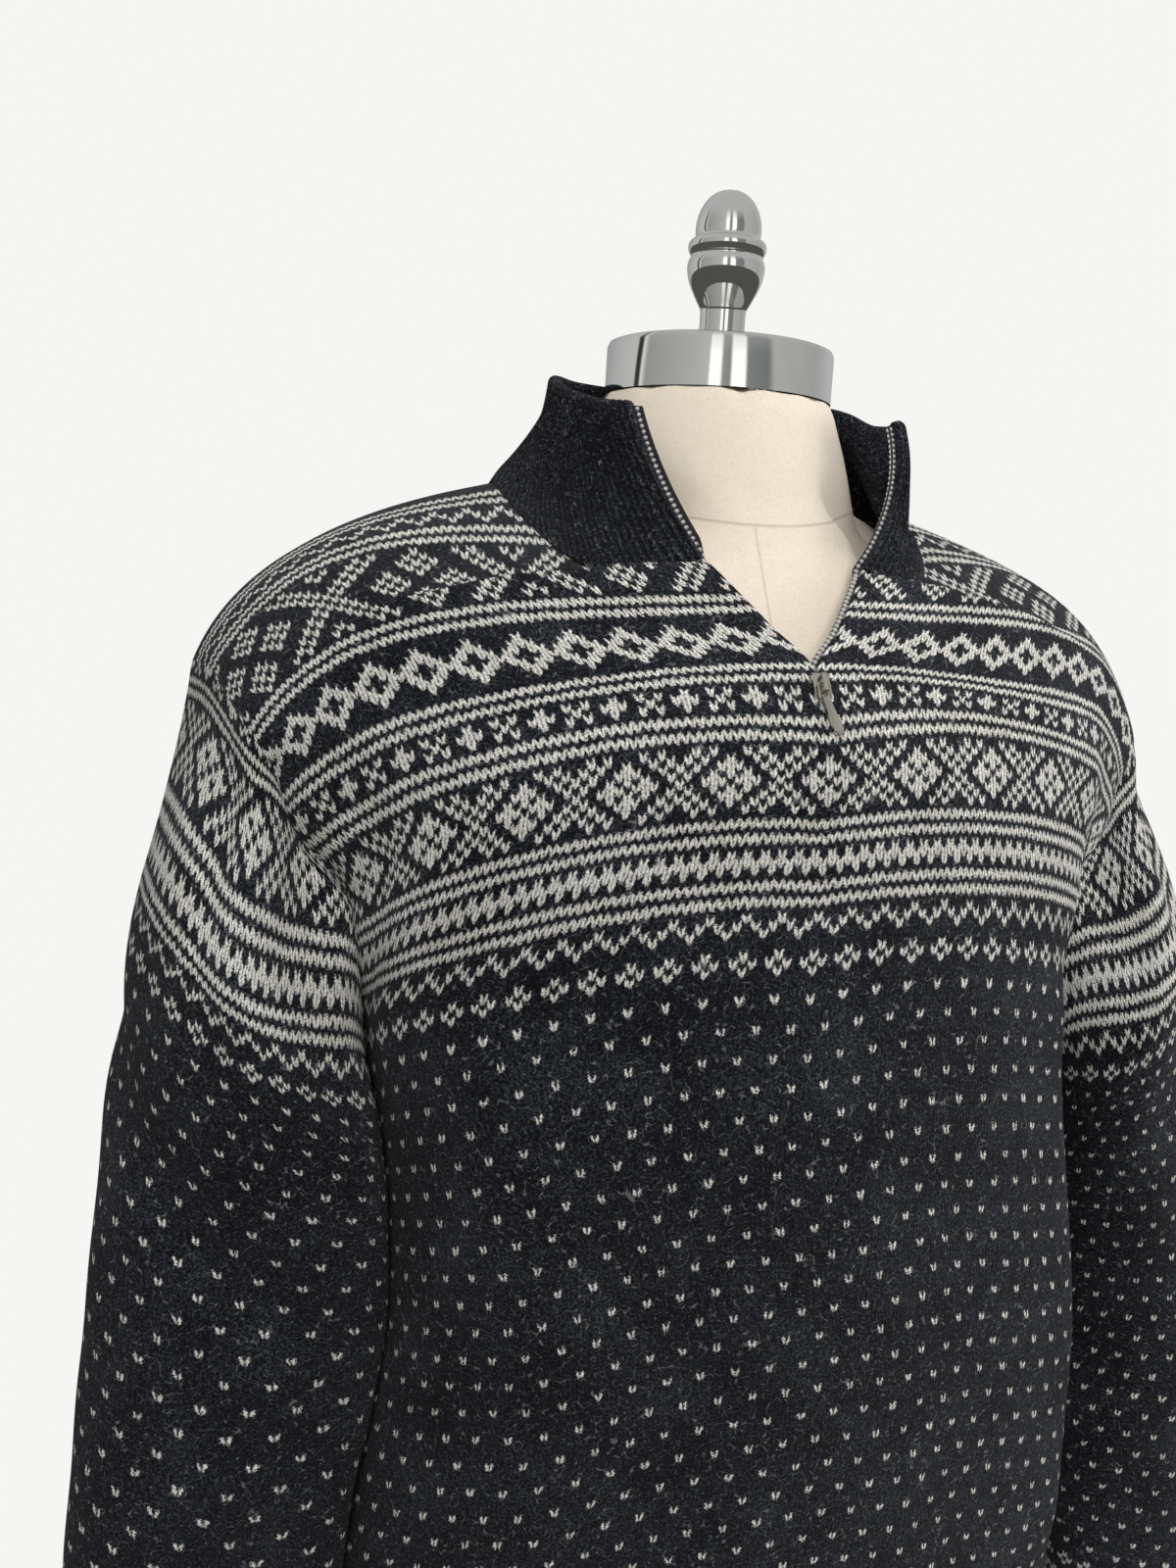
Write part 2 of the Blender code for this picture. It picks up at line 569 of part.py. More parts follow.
def make_front(halves, knit):
    """The front: its halves are one below the zip and parted above it."""
    pulled = []
    for k, (grid, normal) in enumerate(halves):
        gaps = np.full(grid.shape[:2], SEAM_GAP)
        middle = -1 if k == 0 else 0
        gaps[:, middle] = SLIT_GAP
        gaps[:LOW_ROWS + SLIT_ROW + 1, middle] = 0.0
        moved = pulled_in(grid, normal, 1, gaps=gaps)
        moved[0, middle] = grid[0, middle] + (grid[1, middle] - grid[0, middle]) * 0.005
        pulled.append(moved)
    grid = np.concatenate(pulled, axis=1)
    normal = np.concatenate([half[1] for half in halves], axis=1)
    index = np.arange(grid.shape[0] * grid.shape[1]).reshape(grid.shape[:2])
    cols = halves[0][0].shape[1]
    joined = slice(0, LOW_ROWS + SLIT_ROW + 1)
    index[joined, cols] = index[joined, cols - 1]
    wall("front_panel", grid, normal, KNIT, knit, index, parted=cols - 1)


def make_back(halves, knit):
    """The back: one whole panel."""
    grid = np.concatenate([halves[0][0], halves[1][0][:, 1:]], axis=1)
    normal = np.concatenate([halves[0][1], halves[1][1][:, 1:]], axis=1)
    wall("back_panel", pulled_in(grid, normal, -1), normal, KNIT, knit)


def make_hem(front, back, rib):
    """The hem: a ribbed tube that hangs from both panels and draws in a little."""
    line = [np.concatenate([half[0][k][0], half[1][k][0, 1:]]) for half in (front, back) for k in (0, 1)]
    ring = np.concatenate([line[0], line[2][::-1][1:]])
    lean = np.concatenate([line[1], line[3][::-1][1:]])
    steps = np.arange(0, len(ring) - 0.75, 0.5)
    ring = np.stack([np.interp(steps, np.arange(len(ring)), ring[:, k]) for k in range(3)], -1)
    lean = np.stack([np.interp(steps, np.arange(len(lean)), lean[:, k]) for k in range(3)], -1)
    middle = (ring.max(axis=0) + ring.min(axis=0)) / 2
    rows = []
    for fall in (1.0, 0.15, 0.0):
        row = middle + (ring - middle) * (1 - 0.05 * ease(fall / 0.2))
        row[:, 2] = ring[:, 2] - HEM_RIB * fall
        rows.append(row)
    grid = np.stack(rows)
    normal = facing(grid, wrap=True)
    normal[-1] = lean
    normal[:, -1] = normal[:, 0]
    grid[:, -1] = grid[:, 0]
    ribs = np.where(np.arange(grid.shape[1]) % 2 == 1, RIB_RISE, 0.0) * np.array([[1.0], [1.0], [0.0]])
    pulled = pulled_in(grid, normal, 1, wrap=True)
    wall("hem_rib", pulled, normal, KNIT, rib, tube_index(*grid.shape[:2]), ribs)


def make_cuff(name, ring_points, ring_normals, side, rib):
    """A cuff: a ribbed tube on the sleeve's last ring."""
    cells = len(ring_points) - 1
    steps = np.arange(0, cells + 0.25, 0.5)
    across = (steps / cells * 2 - 1) * ARMHOLE
    rows = []
    for fall in (0.0, 0.15, 0.3, 1.0):
        row = cuff(across[None], np.full((1, len(steps)), fall), side)[0]
        if fall == 0.0:
            row = np.stack([np.interp(steps, np.arange(cells + 1), ring_points[:, k]) for k in range(3)], -1)
        rows.append(row)
    grid = np.stack(rows)
    normal = side * facing(grid, wrap=True)
    normal[0] = np.stack([np.interp(steps, np.arange(cells + 1), ring_normals[:, k]) for k in range(3)], -1)
    normal[:, -1] = normal[:, 0]
    grid[:, -1] = grid[:, 0]
    ribs = np.where(np.arange(len(steps)) % 2 == 1, RIB_RISE, 0.0) * np.array([[0.0], [1.0], [1.0], [1.0]])
    pulled = pulled_in(grid, normal, side, wrap=True)
    wall(name, pulled, normal, KNIT, rib, tube_index(*grid.shape[:2]), ribs)


def make_tape(name, side, half, neck, tape):
    """A zip tape: a strip on the inside of the open edge, made from the cloth's own points,
    that shows past the edge where the zip is open."""
    grid, normal = half
    first, column, step = LOW_ROWS + SLIT_ROW + 1, 0 if side > 0 else -1, side
    front = slice(first, -1)
    at = [grid[front, column], neck[0][:, -1 if side > 0 else 0]]
    beside = [grid[front, column + step], neck[0][:, (-1 if side > 0 else 0) - 3 * step]]
    lean = [normal[front, column], neck[1][:, -1 if side > 0 else 0]]
    lean_beside = [normal[front, column + step], neck[1][:, (-1 if side > 0 else 0) - 3 * step]]
    at, beside, lean, lean_beside = [np.concatenate(each) for each in (at, beside, lean, lean_beside)]
    count = len(neck[0])
    at[-1] += 0.04 * (at[-2] - at[-1])
    beside[-1] += 0.04 * (beside[-2] - beside[-1])
    open_by = np.ones(len(at))
    open_by[:3] = (0.0, 0.1, 0.8)
    into = beside - at
    wide = np.linalg.norm(into, axis=-1, keepdims=True)
    rows = np.stack([at - into / wide * (TAPE_SHOWS * open_by - SLIT_GAP)[:, None],
                     at + into / wide * TAPE_HIDDEN], axis=1)
    leans = np.stack([lean, lean + (lean_beside - lean) * TAPE_HIDDEN / wide], axis=1)
    cloth = np.full(len(at), KNIT)
    cloth[-count:] = COLLAR_KNIT
    rows = rows - leans * (cloth / 2 + TAPE_BEHIND + TAPE / 2)[:, None, None]
    wall(name, rows, leans, TAPE, tape)


def box(name, size, centre, axes, material):
    """A box of a size in millimetres, turned to the axes given as rows."""
    shape = bmesh.new()
    bmesh.ops.create_cube(shape, size=1.0)
    points = np.array([v.co for v in shape.verts]) * np.array(size) * 0.1
    faces = [tuple(v.index for v in f.verts) for f in shape.faces]
    shape.free()
    return add_mesh(name, centre + points @ axes, faces, material, smooth=False)


def use_cutter(piece, cutter, operation):
    """Joins or cuts a piece with another object, which is then put away."""
    change = piece.modifiers.new(operation.lower(), "BOOLEAN")
    change.operation = operation
    change.object = cutter
    PARTS.objects.unlink(cutter)
    CUTTERS.objects.link(cutter)
    cutter.hide_render = True
    cutter.display_type = "WIRE"


def cross_bar(name, radius, length, centre, axes, material):
    """A round bar across the zip, sizes in millimetres."""
    shape = bmesh.new()
    bmesh.ops.create_cone(shape, cap_ends=True, segments=14, radius1=radius, radius2=radius, depth=length)
    points = np.array([v.co for v in shape.verts])[:, [2, 1, 0]] * 0.1
    faces = [tuple(v.index for v in f.verts) for f in shape.faces]
    shape.free()
    return add_mesh(name, centre + points @ axes, faces, material)


def make_slider(metal):
    """The slider, a plate with a bridge over it, and the pull that hangs from the bridge:
    a wire loop through the bridge and a faceted tab on the loop."""
    level = np.array([[SLIDER_LEVEL - 0.45, SLIDER_LEVEL - 2.9]])
    seat, low = panel(np.full((1, 2), 1e-4), level, -1)[0]
    axes = hanging_axes(seat, low)
    out = axes[2]
    lift = KNIT * 0.5 + SLIDER_LIFT
    plate = box("zip_slider", PLATE_SIZE, seat + out * (lift + PLATE_SIZE[2] * 0.05), axes, metal)
    top = lift + PLATE_SIZE[2] * 0.1
    bridge_size = (BRIDGE_WIDTH, BRIDGE_LENGTH, BRIDGE_RISE + 0.5)
    bridge = box("bridge", bridge_size, seat + out * (top + (BRIDGE_RISE - 0.5) * 0.05), axes, metal)
    hole_size = (BRIDGE_WIDTH + 2, BRIDGE_LENGTH - 2 * BRIDGE_BAR, BRIDGE_RISE - BRIDGE_BAR + 0.3)
    hole_centre = seat + out * (top + (BRIDGE_RISE - BRIDGE_BAR - 0.3) * 0.05)
    hole = box("bridge_hole", hole_size, hole_centre, axes, metal)
    use_cutter(bridge, hole, "DIFFERENCE")
    use_cutter(plate, bridge, "UNION")
    pivot = seat + out * (top + PIVOT_RISE * 0.1)
    resting = low + out * (KNIT * 0.5 + PULL_SECTIONS[2][2] * 0.05 + PULL_REST)
    make_pull(pivot, hanging_axes(pivot, resting), metal)
    return pivot


def hanging_axes(high, low):
    """Rows across the zip, up it and out from it, for what hangs from one point to another."""
    down = (low - high) / np.linalg.norm(low - high)
    across = np.array([1.0, 0.0, 0.0])
    return np.array([across, -down, np.cross(across, -down)])


def make_pull(pivot, axes, metal):
    """The pull, hanging down the cloth from the pivot."""
    half, drop, corner = LOOP_HALF_WIDTH * 0.1, LOOP_DROP * 0.1, LOOP_CORNER * 0.1
    path = []
    for x, y, first in ((half, 0, 90), (half, -drop, 0), (-half, -drop, -90), (-half, 0, -180)):
        for angle in (first, first - 45, first - 90):
            turn = math.radians(angle)
            path.append((x + corner * (math.cos(turn) - np.sign(x)), y + corner * (math.sin(turn) + (1 if y else -1))))
    line = bpy.data.curves.new("zip_pull_loop", "CURVE")
    line.dimensions = "3D"
    line.bevel_depth = LOOP_WIRE * 0.001
    line.bevel_resolution = 1
    spline = line.splines.new("POLY")
    spline.points.add(len(path) - 1)
    spline.use_cyclic_u = True
    for point, (x, y) in zip(spline.points, path):
        point.co = (*(np.array([x, y, 0.0]) @ axes * 0.01), 1.0)
    line.materials.append(metal)
    loop = bpy.data.objects.new("zip_pull_loop", line)
    loop.location = place(pivot)
    PARTS.objects.link(loop)

    eye = pivot + np.array([0.0, -drop, 0.0]) @ axes
    lean = math.radians(TAB_LEAN)
    turned_axes = np.array([[math.cos(lean), math.sin(lean), 0.0], [-math.sin(lean), math.cos(lean), 0.0], [0, 0, 1]])
    tab_axes = turned_axes @ axes
    points, faces = [], []
    for down, width, depth in PULL_SECTIONS:
        w, d, c = width * 0.05, depth * 0.05, min(width, depth) * 0.012
        ring = [(-w + c, -d), (w - c, -d), (w, -d + c), (w, d - c), (w - c, d), (-w + c, d), (-w, d - c), (-w, -d + c)]
        points += [eye + np.array([x, -down * 0.1, z]) @ tab_axes for x, z in ring]
    sides = 8
    for k in range(len(PULL_SECTIONS) - 1):
        faces += [(k * sides + j, k * sides + (j + 1) % sides, (k + 1) * sides + (j + 1) % sides,
                   (k + 1) * sides + j) for j in range(sides)]
    faces += [tuple(range(sides)), tuple(range(len(points) - 1, len(points) - sides - 1, -1))]
    tab = add_mesh("zip_pull_tab", np.array(points), faces, metal, smooth=False, origin=pivot)
    drill = cross_bar("eye_drill", EYE_RADIUS, 8.0, eye, axes, metal)
    use_cutter(tab, drill, "DIFFERENCE")


def make_form(cloth, cloth_walls):
    """The dress form: superellipse rings down the torso, each point moved in along the
    cloth's own normal wherever it lies nearer the cloth than its clearance."""
    table = np.array(FORM_RINGS)
    turn = np.linspace(0.0, 2 * math.pi, FORM_SIDES + 1)[:-1]
    power = 2.0 / table[:, 4:5]
    cosine, sine = np.cos(turn)[None], np.sin(turn)[None]
    x = table[:, 1:2] * np.sign(cosine) * np.abs(cosine) ** power
    centre, reach = (table[:, 2:3] + table[:, 3:4]) / 2, (table[:, 3:4] - table[:, 2:3]) / 2
    y = centre + reach * np.sign(sine) * np.abs(sine) ** power
    points = np.stack([x, y, np.broadcast_to(table[:, 0:1], x.shape)], -1).reshape(-1, 3)
    for grid, normal in cloth_walls:
        tree = BVHTree.FromPolygons(grid.reshape(-1, 3).tolist(), triangles(grid))
        facing_out = float((normal[1, 1] * facing(grid)[1, 1]).sum())
        for k, point in enumerate(points):
            near, way, face, apart = tree.find_nearest(point.tolist())
            way = np.array(way) * (1.0 if facing_out > 0 else -1.0)
            inside = float(((np.array(near) - point) * way).sum())
            if apart < 5.0 and inside < KNIT / 2 + FORM_CLEARANCE:
                points[k] = point - way * (KNIT / 2 + FORM_CLEARANCE - inside)
    sides, rows = FORM_SIDES, len(FORM_RINGS)
    faces = [(k * sides + j, k * sides + (j + 1) % sides, (k + 1) * sides + (j + 1) % sides, (k + 1) * sides + j)
             for k in range(rows - 1) for j in range(sides)]
    faces += [tuple(range(sides)), tuple(range((rows - 1) * sides, rows * sides))]
    add_mesh("form_torso", points, faces, cloth)


def turned(name, profile, centre_y, base, segments, material):
    """A turned piece: its profile, top to bottom, carried once round its axis."""
    mesh = bpy.data.meshes.new(name)
    points = [(r * 0.01, 0.0, (z + base) * 0.01) for r, z in profile]
    mesh.from_pydata(points, [(k, k + 1) for k in range(len(points) - 1)], [])
    mesh.materials.append(material)
    made = bpy.data.objects.new(name, mesh)
    made.location = (0.0, (centre_y - POLE_Y) * 0.01, 0.0)
    screw = made.modifiers.new("turn", "SCREW")
    screw.steps = screw.render_steps = segments
    screw.use_merge_vertices = True
    screw.merge_threshold = 0.00001
    screw.use_smooth_shade = True
    PARTS.objects.link(made)
    return made


def make_stand(chrome, base_metal):
    """The cap and finial on the neck, and the plate, pole and round base under the torso."""
    turned("neck_cap", CAP_PROFILE, 0.0, RIM_ABOVE_FLOOR, 32, chrome)
    turned("finial", FINIAL_PROFILE, 0.0, RIM_ABOVE_FLOOR, 20, chrome)
    turned("form_plate", FORM_PLATE_PROFILE, POLE_Y, 0.0, 24, base_metal)
    pole = ((0.0, POLE_HEIGHTS[1]), (POLE_RADIUS, POLE_HEIGHTS[1]), (POLE_RADIUS, POLE_HEIGHTS[0]), (0.0, POLE_HEIGHTS[0]))
    turned("pole", pole, POLE_Y, 0.0, 24, chrome)
    turned("base", BASE_PROFILE, POLE_Y, 0.0, 36, base_metal)


KNITTED = finish("charcoal wool knit", "#2b2d31", 0.95)
RIBBED = finish("charcoal wool rib", "#26282c", 0.95)
TAPED = finish("woven zip tape", "#1d1e20", 0.9)
NICKEL = finish("nickel", "#b9b5ab", 0.3, 1.0)
LINEN = finish("cream linen", "#e8dfcd", 0.9)
CHROME = finish("chrome", "#d6d7d9", 0.08, 1.0)
STAND_METAL = finish("stand steel", "#c4c5c7", 0.25, 1.0)

cloth_grids = make_garment(KNITTED, RIBBED, TAPED)
pull_pivot = make_slider(NICKEL)
make_form(LINEN, cloth_grids)
make_stand(CHROME, STAND_METAL)
print("pull pivot, metres:", [round(float(v), 5) for v in place(pull_pivot)])
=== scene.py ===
"""The look of a quarter-zip knitted sweater on a dress form, worked round its solids.

Cloth sizes are in centimetres from the middle of the neck cap's lower rim: X to the viewer's
right, Y to the back, Z up. place() turns them into metres above the floor. A panel is worked
out from its knitted layout: u runs across it from the centre line, and level runs up it from
the course under the last pattern band.
"""

import math

import bmesh
import bpy
import numpy as np
from mathutils import Matrix, Vector


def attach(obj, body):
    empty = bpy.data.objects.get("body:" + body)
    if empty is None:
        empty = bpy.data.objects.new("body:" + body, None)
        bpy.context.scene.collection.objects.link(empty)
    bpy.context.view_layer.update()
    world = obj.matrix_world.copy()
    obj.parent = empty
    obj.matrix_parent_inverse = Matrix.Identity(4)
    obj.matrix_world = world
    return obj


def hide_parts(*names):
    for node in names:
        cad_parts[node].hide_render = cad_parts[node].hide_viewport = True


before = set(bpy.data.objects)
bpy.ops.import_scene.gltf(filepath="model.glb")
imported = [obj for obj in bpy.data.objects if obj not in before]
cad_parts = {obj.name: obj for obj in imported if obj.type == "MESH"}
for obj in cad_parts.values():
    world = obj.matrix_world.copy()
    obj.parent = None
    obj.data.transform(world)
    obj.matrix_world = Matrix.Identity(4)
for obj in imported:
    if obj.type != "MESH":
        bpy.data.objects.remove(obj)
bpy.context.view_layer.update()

# Heights, thicknesses and gaps. COLLAR_TURN thickens the collar where its edge is turned in.
RIM_ABOVE_FLOOR = 145.0
POLE_Y = -2.5
KNIT = 0.2
COLLAR_KNIT = 0.28
COLLAR_TURN = 0.16
TAPE = 0.1
SLIT_GAP = 0.05
TAPE_SHOWS = 0.34
TAPE_HIDDEN = 1.0
TAPE_BEHIND = 0.085

# The knitted layout: half a panel's width, half the neck's, and the levels of the seams.
HALF_WIDTH = 27.0
NECK_HALF = 9.5
HEM_LEVEL = -33.7
UNDERARM = 4.2
TOP = 30.3
FRONT_NECK = 22.8
BACK_NECK = 25.5
SLIDER_LEVEL = 14.8
ARMHOLE = 26.1
SLEEVE_LENGTH = 53.0
HEM_RIB = 6.0
CUFF_RIB = 7.0

# How many cells each piece is divided into.
NECK_CELLS = 36
SHOULDER_CELLS = 60
LOW_ROWS = 54
ARM_ROWS = 72
SLIT_ROW = 30
SLEEVE_ROWS = 96
COLLAR_ROWS = 27

# The front's centre line; above the slider it is the edge of the open zip.
#    level     x      y      z
FRONT_EDGE = (
    (-33.7, 0.0, -12.8, -61.0),
    (-20.0, 0.0, -14.0, -47.4),
    (-8.0, 0.0, -15.0, -35.3),
    (0.0, 0.0, -15.4, -27.3),
    (4.2, 0.0, -15.6, -23.1),
    (7.5, 0.0, -15.7, -19.8),
    (12.2, 0.0, -15.2, -15.6),
    (15.0, 0.0, -13.7, -13.1),
    (18.5, 1.7, -12.2, -11.1),
    (22.8, 4.0, -9.6, -8.3),
)
# The back's centre line.
#    level     x      y      z
BACK_EDGE = (
    (-33.7, 0.0, 8.6, -65.5),
    (-20.0, 0.0, 8.9, -51.6),
    (-8.0, 0.0, 9.5, -39.4),
    (0.0, 0.0, 10.1, -31.3),
    (7.5, 0.0, 10.6, -23.7),
    (15.0, 0.0, 10.7, -16.1),
    (22.8, 0.0, 9.5, -8.1),
    (25.5, 0.0, 8.7, -5.4),
)
# Each course runs from the centre line past a bend point to the side seam or armhole.
#    level   lead  lead's  bend   bend    bend   seam   seam   seam
#                   drop    x      y       z      x      y      z
FRONT_COURSES = (
    (-33.7, 11.5, 0.8, 21.8, -8.5, -65.0, 21.4, -1.0, -66.0),
    (-20.0, 11.5, 0.7, 20.3, -10.0, -51.8, 19.8, -1.5, -53.4),
    (-8.0, 11.3, 0.5, 19.3, -11.4, -40.2, 18.1, -2.0, -42.4),
    (0.0, 11.2, 0.3, 19.3, -11.9, -32.8, 17.5, -2.4, -35.2),
    (4.2, 11.0, 0.5, 19.3, -12.2, -29.0, 18.0, -3.0, -31.5),
    (7.5, 11.1, 0.4, 19.0, -12.2, -25.6, 18.1, -5.3, -28.1),
    (12.2, 11.3, 0.3, 18.4, -11.8, -20.8, 19.3, -6.6, -23.6),
    (15.0, 11.2, 0.8, 18.9, -11.0, -17.6, 21.2, -6.2, -21.6),
    (18.5, 9.8, 1.5, 19.4, -9.0, -13.5, 22.2, -5.9, -18.9),
    (22.8, 8.3, 1.0, 20.2, -6.3, -10.1, 23.7, -5.0, -16.6),
    (26.5, 7.0, 0.4, 21.7, -2.7, -8.9, 24.8, -1.5, -14.8),
    (30.3, 6.2, 1.8, 23.4, 2.6, -8.9, 25.4, 3.6, -14.6),
)
BACK_COURSES = (
    (-33.7, 11.5, 0.2, 21.8, 6.5, -66.0, 21.4, -1.0, -66.0),
    (-20.0, 11.5, 0.2, 20.3, 7.0, -53.4, 19.8, -1.5, -53.4),
    (-8.0, 11.0, 0.3, 19.3, 7.6, -42.2, 18.1, -2.0, -42.4),
    (0.0, 11.0, 0.4, 19.2, 8.0, -34.9, 17.5, -2.4, -35.2),
    (4.2, 11.0, 0.5, 19.2, 8.4, -31.0, 18.0, -3.0, -31.5),
    (7.5, 11.0, 0.6, 19.4, 8.8, -28.0, 19.4, 0.2, -29.9),
    (12.2, 11.0, 0.7, 19.8, 9.4, -23.8, 20.1, 4.2, -26.8),
    (15.0, 11.0, 0.8, 20.2, 9.4, -20.6, 20.9, 5.8, -24.6),
    (18.5, 11.0, 0.9, 20.6, 9.2, -17.2, 22.0, 6.9, -21.6),
    (22.8, 10.0, 1.0, 21.2, 8.2, -13.2, 23.5, 6.4, -18.6),
    (26.5, 9.0, 1.2, 22.2, 6.4, -10.8, 24.7, 5.2, -16.3),
    (30.3, 6.2, 1.8, 23.4, 2.6, -8.9, 25.4, 3.6, -14.6),
)
# Rings of a sleeve: its outermost point, its innermost point and half its depth.
#    down    outer  outer   outer   inner  inner   inner  half
#             x      y       z       x      y       z     depth
SLEEVE_RINGS = (
    (0.0, 25.4, 1.0, -14.6, 17.9, -3.2, -31.8, 9.0),
    (8.0, 27.4, -1.2, -23.6, 18.6, -3.0, -35.4, 8.2),
    (15.0, 28.6, -1.2, -29.8, 17.4, -2.6, -40.0, 7.2),
    (25.0, 29.4, -2.0, -39.6, 17.6, -2.2, -48.0, 5.6),
    (40.0, 30.4, -2.6, -55.0, 19.0, -2.5, -60.9, 4.2),
    (53.0, 30.8, -2.6, -68.6, 21.2, -2.4, -71.4, 3.6),
)
# How the sleeves hang: the share of its depth that the right one keeps outside and loses
# against the body, how far it is tucked in low down, how the armhole's shape spreads, falls
# and dies away down the sleeve, and how closely and softly the body stops it.
FULL_OUTSIDE = 1.12
FLAT_INSIDE = 0.4
INSIDE_TUCK = 1.4
SEAM_SPREAD = 0.17
SEAM_FALL = 0.75
SEAM_REACH = 9.4
PRESS_GAP = 0.25
PRESS_SOFT = 0.25
# Soft folds: where each begins and ends on the layout, its half width and its height.
#    across  level   across  level  width  height
FRONT_FOLDS = (
    (-22.6, 16.5, -24.2, 3.0, 1.8, -0.35),
    (22.6, 16.5, 24.2, 3.0, 1.8, -0.35),
    (-15.5, 1.0, -13.5, -27.0, 3.0, 0.45),
    (17.5, 4.0, 19.0, -30.0, 2.6, 0.5),
    (-6.0, -10.0, -8.0, -33.0, 3.5, -0.35),
    (8.0, -8.0, 11.0, -33.0, 3.5, -0.4),
)
BACK_FOLDS = (
    (-14.0, 20.0, -19.0, 4.0, 2.6, -0.4),
    (14.0, 20.0, 19.0, 4.0, 2.6, -0.4),
    (-9.0, 2.0, -11.0, -30.0, 3.4, 0.5),
    (4.0, 4.0, 3.0, -31.0, 3.4, -0.4),
    (13.0, 0.0, 15.0, -31.0, 3.2, 0.45),
)
#    across  down   across  down  width  height
SLEEVE_FOLDS = (
    (7.0, 2.0, 9.0, 12.0, 1.8, -0.45),
    (-3.0, 15.0, 14.0, 26.0, 2.4, -0.45),
    (-16.0, 9.0, -6.0, 22.0, 2.4, -0.4),
    (14.0, 34.0, 2.0, 42.0, 2.4, 0.35),
    (-14.0, 38.0, -2.0, 47.0, 2.4, -0.35),
)
# Turned metal pieces: radius and height, from the top down.
FINIAL_PROFILE = (
    (0.0, 10.25), (0.62, 10.15), (1.18, 9.75), (1.56, 9.05), (1.68, 8.35), (1.62, 7.85),
    (1.92, 7.7), (2.0, 7.4), (1.9, 7.1), (1.78, 6.95), (1.92, 6.75), (1.98, 6.4),
    (1.85, 5.7), (1.45, 4.9), (1.2, 4.45), (1.15, 4.3), (1.15, 2.53), (0.0, 2.53),
)
CAP_PROFILE = (
    (0.0, 2.5), (5.45, 2.5), (5.66, 2.42), (5.75, 2.2), (5.75, -0.1), (5.7, -0.17), (0.0, -0.17),
)
# The stand, its heights above the floor.
FORM_PLATE_PROFILE = (
    (0.0, 64.97), (7.5, 64.97), (7.8, 64.7), (7.8, 64.0), (2.6, 63.4), (2.4, 61.0), (0.0, 61.0),
)
POLE_PROFILE = ((0.0, 60.97), (1.6, 60.97), (1.6, 3.03), (0.0, 3.03))
BASE_PROFILE = (
    (0.0, 3.0), (2.6, 3.0), (3.0, 2.2), (14.5, 1.3), (16.6, 0.9), (17.0, 0.5), (17.0, 0.0),
    (0.0, 0.0),
)

# The slider and its pull. SLIDER_LIFT and PULL_REST, gaps under them, are in centimetres,
# the others in millimetres.
PLATE_THICKNESS = 1.8
SLIDER_LIFT = 0.06
PIVOT_RISE = 1.5
PULL_REST = 0.05
LOOP_WIRE = 0.5
LOOP_CORNER = 0.9
LOOP_HALF_WIDTH = 2.7
LOOP_DROP = 7.2
PULL_DEPTH = 2.6

# The pattern bands, charted: the row each begins on, counted up from the first
# row of single stitches, and its rows from the bottom. X is a cream stitch, and the first
# letter of a row is the stitch on the centre line.
SEED = ("X...",)
SMALL_DIAMOND = ("X...", ".X.X", "X...")
ZIGZAG = ("..X.", ".X.X", "X...")
STRIPES = ("X", ".", "X")
CROWN = ("X.", "XX", ".X")
FLOWER = ("..X.X...X.X.", "X..X.X.X.X..", "XX..X.X.X..X", "X.X..X.X..X.", ".XXX..X..XXX")
STAR = ("X..X.X..", "XX..X..X", "X..X.X..")
CHAIN = ("X.....", "XX...X", ".XX.XX", "..XXX.")
LATTICE = (
    ".X...X.X....X....X.X...X",
    "X...X.X....X.X....X.X...",
    "...X.X....X.X.X....X.X..",
    "..X.X......X.X......X.X.",
    ".X.X....X...X...X....X.X",
    "X.X....X.X.....X.X....X.",
    ".X....X.X.X...X.X.X....X",
)
BANDS = (
    (0, SEED), (4, SMALL_DIAMOND), (9, ZIGZAG), (13, STRIPES), (17, CROWN), (21, STRIPES),
    (25, FLOWER + FLOWER[-2::-1]), (35, STRIPES), (39, STAR), (43, STRIPES),
    (48, CHAIN + CHAIN[-2::-1]), (57, STRIPES), (61, LATTICE + LATTICE[-2::-1]),
    (75, STRIPES), (79, ZIGZAG), (83, STRIPES),
)
CHART_ROWS = 90
CHART_REPEAT = 24
HALF_REPEAT = CHART_REPEAT // 2
MIRROR_ROW = -104

# A stitch and a row, in centimetres, and how steeply a stitch's two legs climb, in rows.
STITCH = 0.41
ROW = 0.34
LEG_CLIMB = 1.8
RIB_ROW = 0.3

# The pattern rises from the centre to the armholes by this much, on each side.
BAND_RISE = {-1: 1.47, 1: 3.81}
SLEEVE_FIRST_ROW = 41.0
SLEEVE_ROWS_SOONER = 4.6
# Half a sleeve's knitted width, down the sleeve.
SLEEVE_WIDTHS = (
    (0.0, 26.1), (8.0, 25.0), (15.0, 23.5), (25.0, 21.0), (40.0, 17.5), (53.0, 15.0),
)

# The seams lie in a shallow valley: its depth and its width.
SEAM_DIP = 0.1
SEAM_WIDTH = 0.45

COLLAR_RIBS = 126
HEM_RIBS = 208
CUFF_RIBS = 52
COLUMNS_A_RIB = 8
RIB_WAVE = 0.075
EDGE_ROUND = 0.14
COLLAR_HEIGHT = 8.0
COLLAR_EDGE = 0.3


# Shader nodes that are used over and over.
MATH = "ShaderNodeMath"
VECTOR = "ShaderNodeVectorMath"
RANGE = "ShaderNodeMapRange"
NOISE = "ShaderNodeTexNoise"
RAMP = "ShaderNodeValToRGB"
MIX = "ShaderNodeMix"

# The camera, in metres: where it stands and the three ways it is turned.
CAMERA_SPOT = (-0.28957, -0.69171, 1.35)
CAMERA_FORWARD = (0.30635, 0.94285, -0.13105)
CAMERA_RIGHT = (0.95177, -0.30096, 0.05966)
CAMERA_UP = (-0.01681, 0.14300, 0.98958)
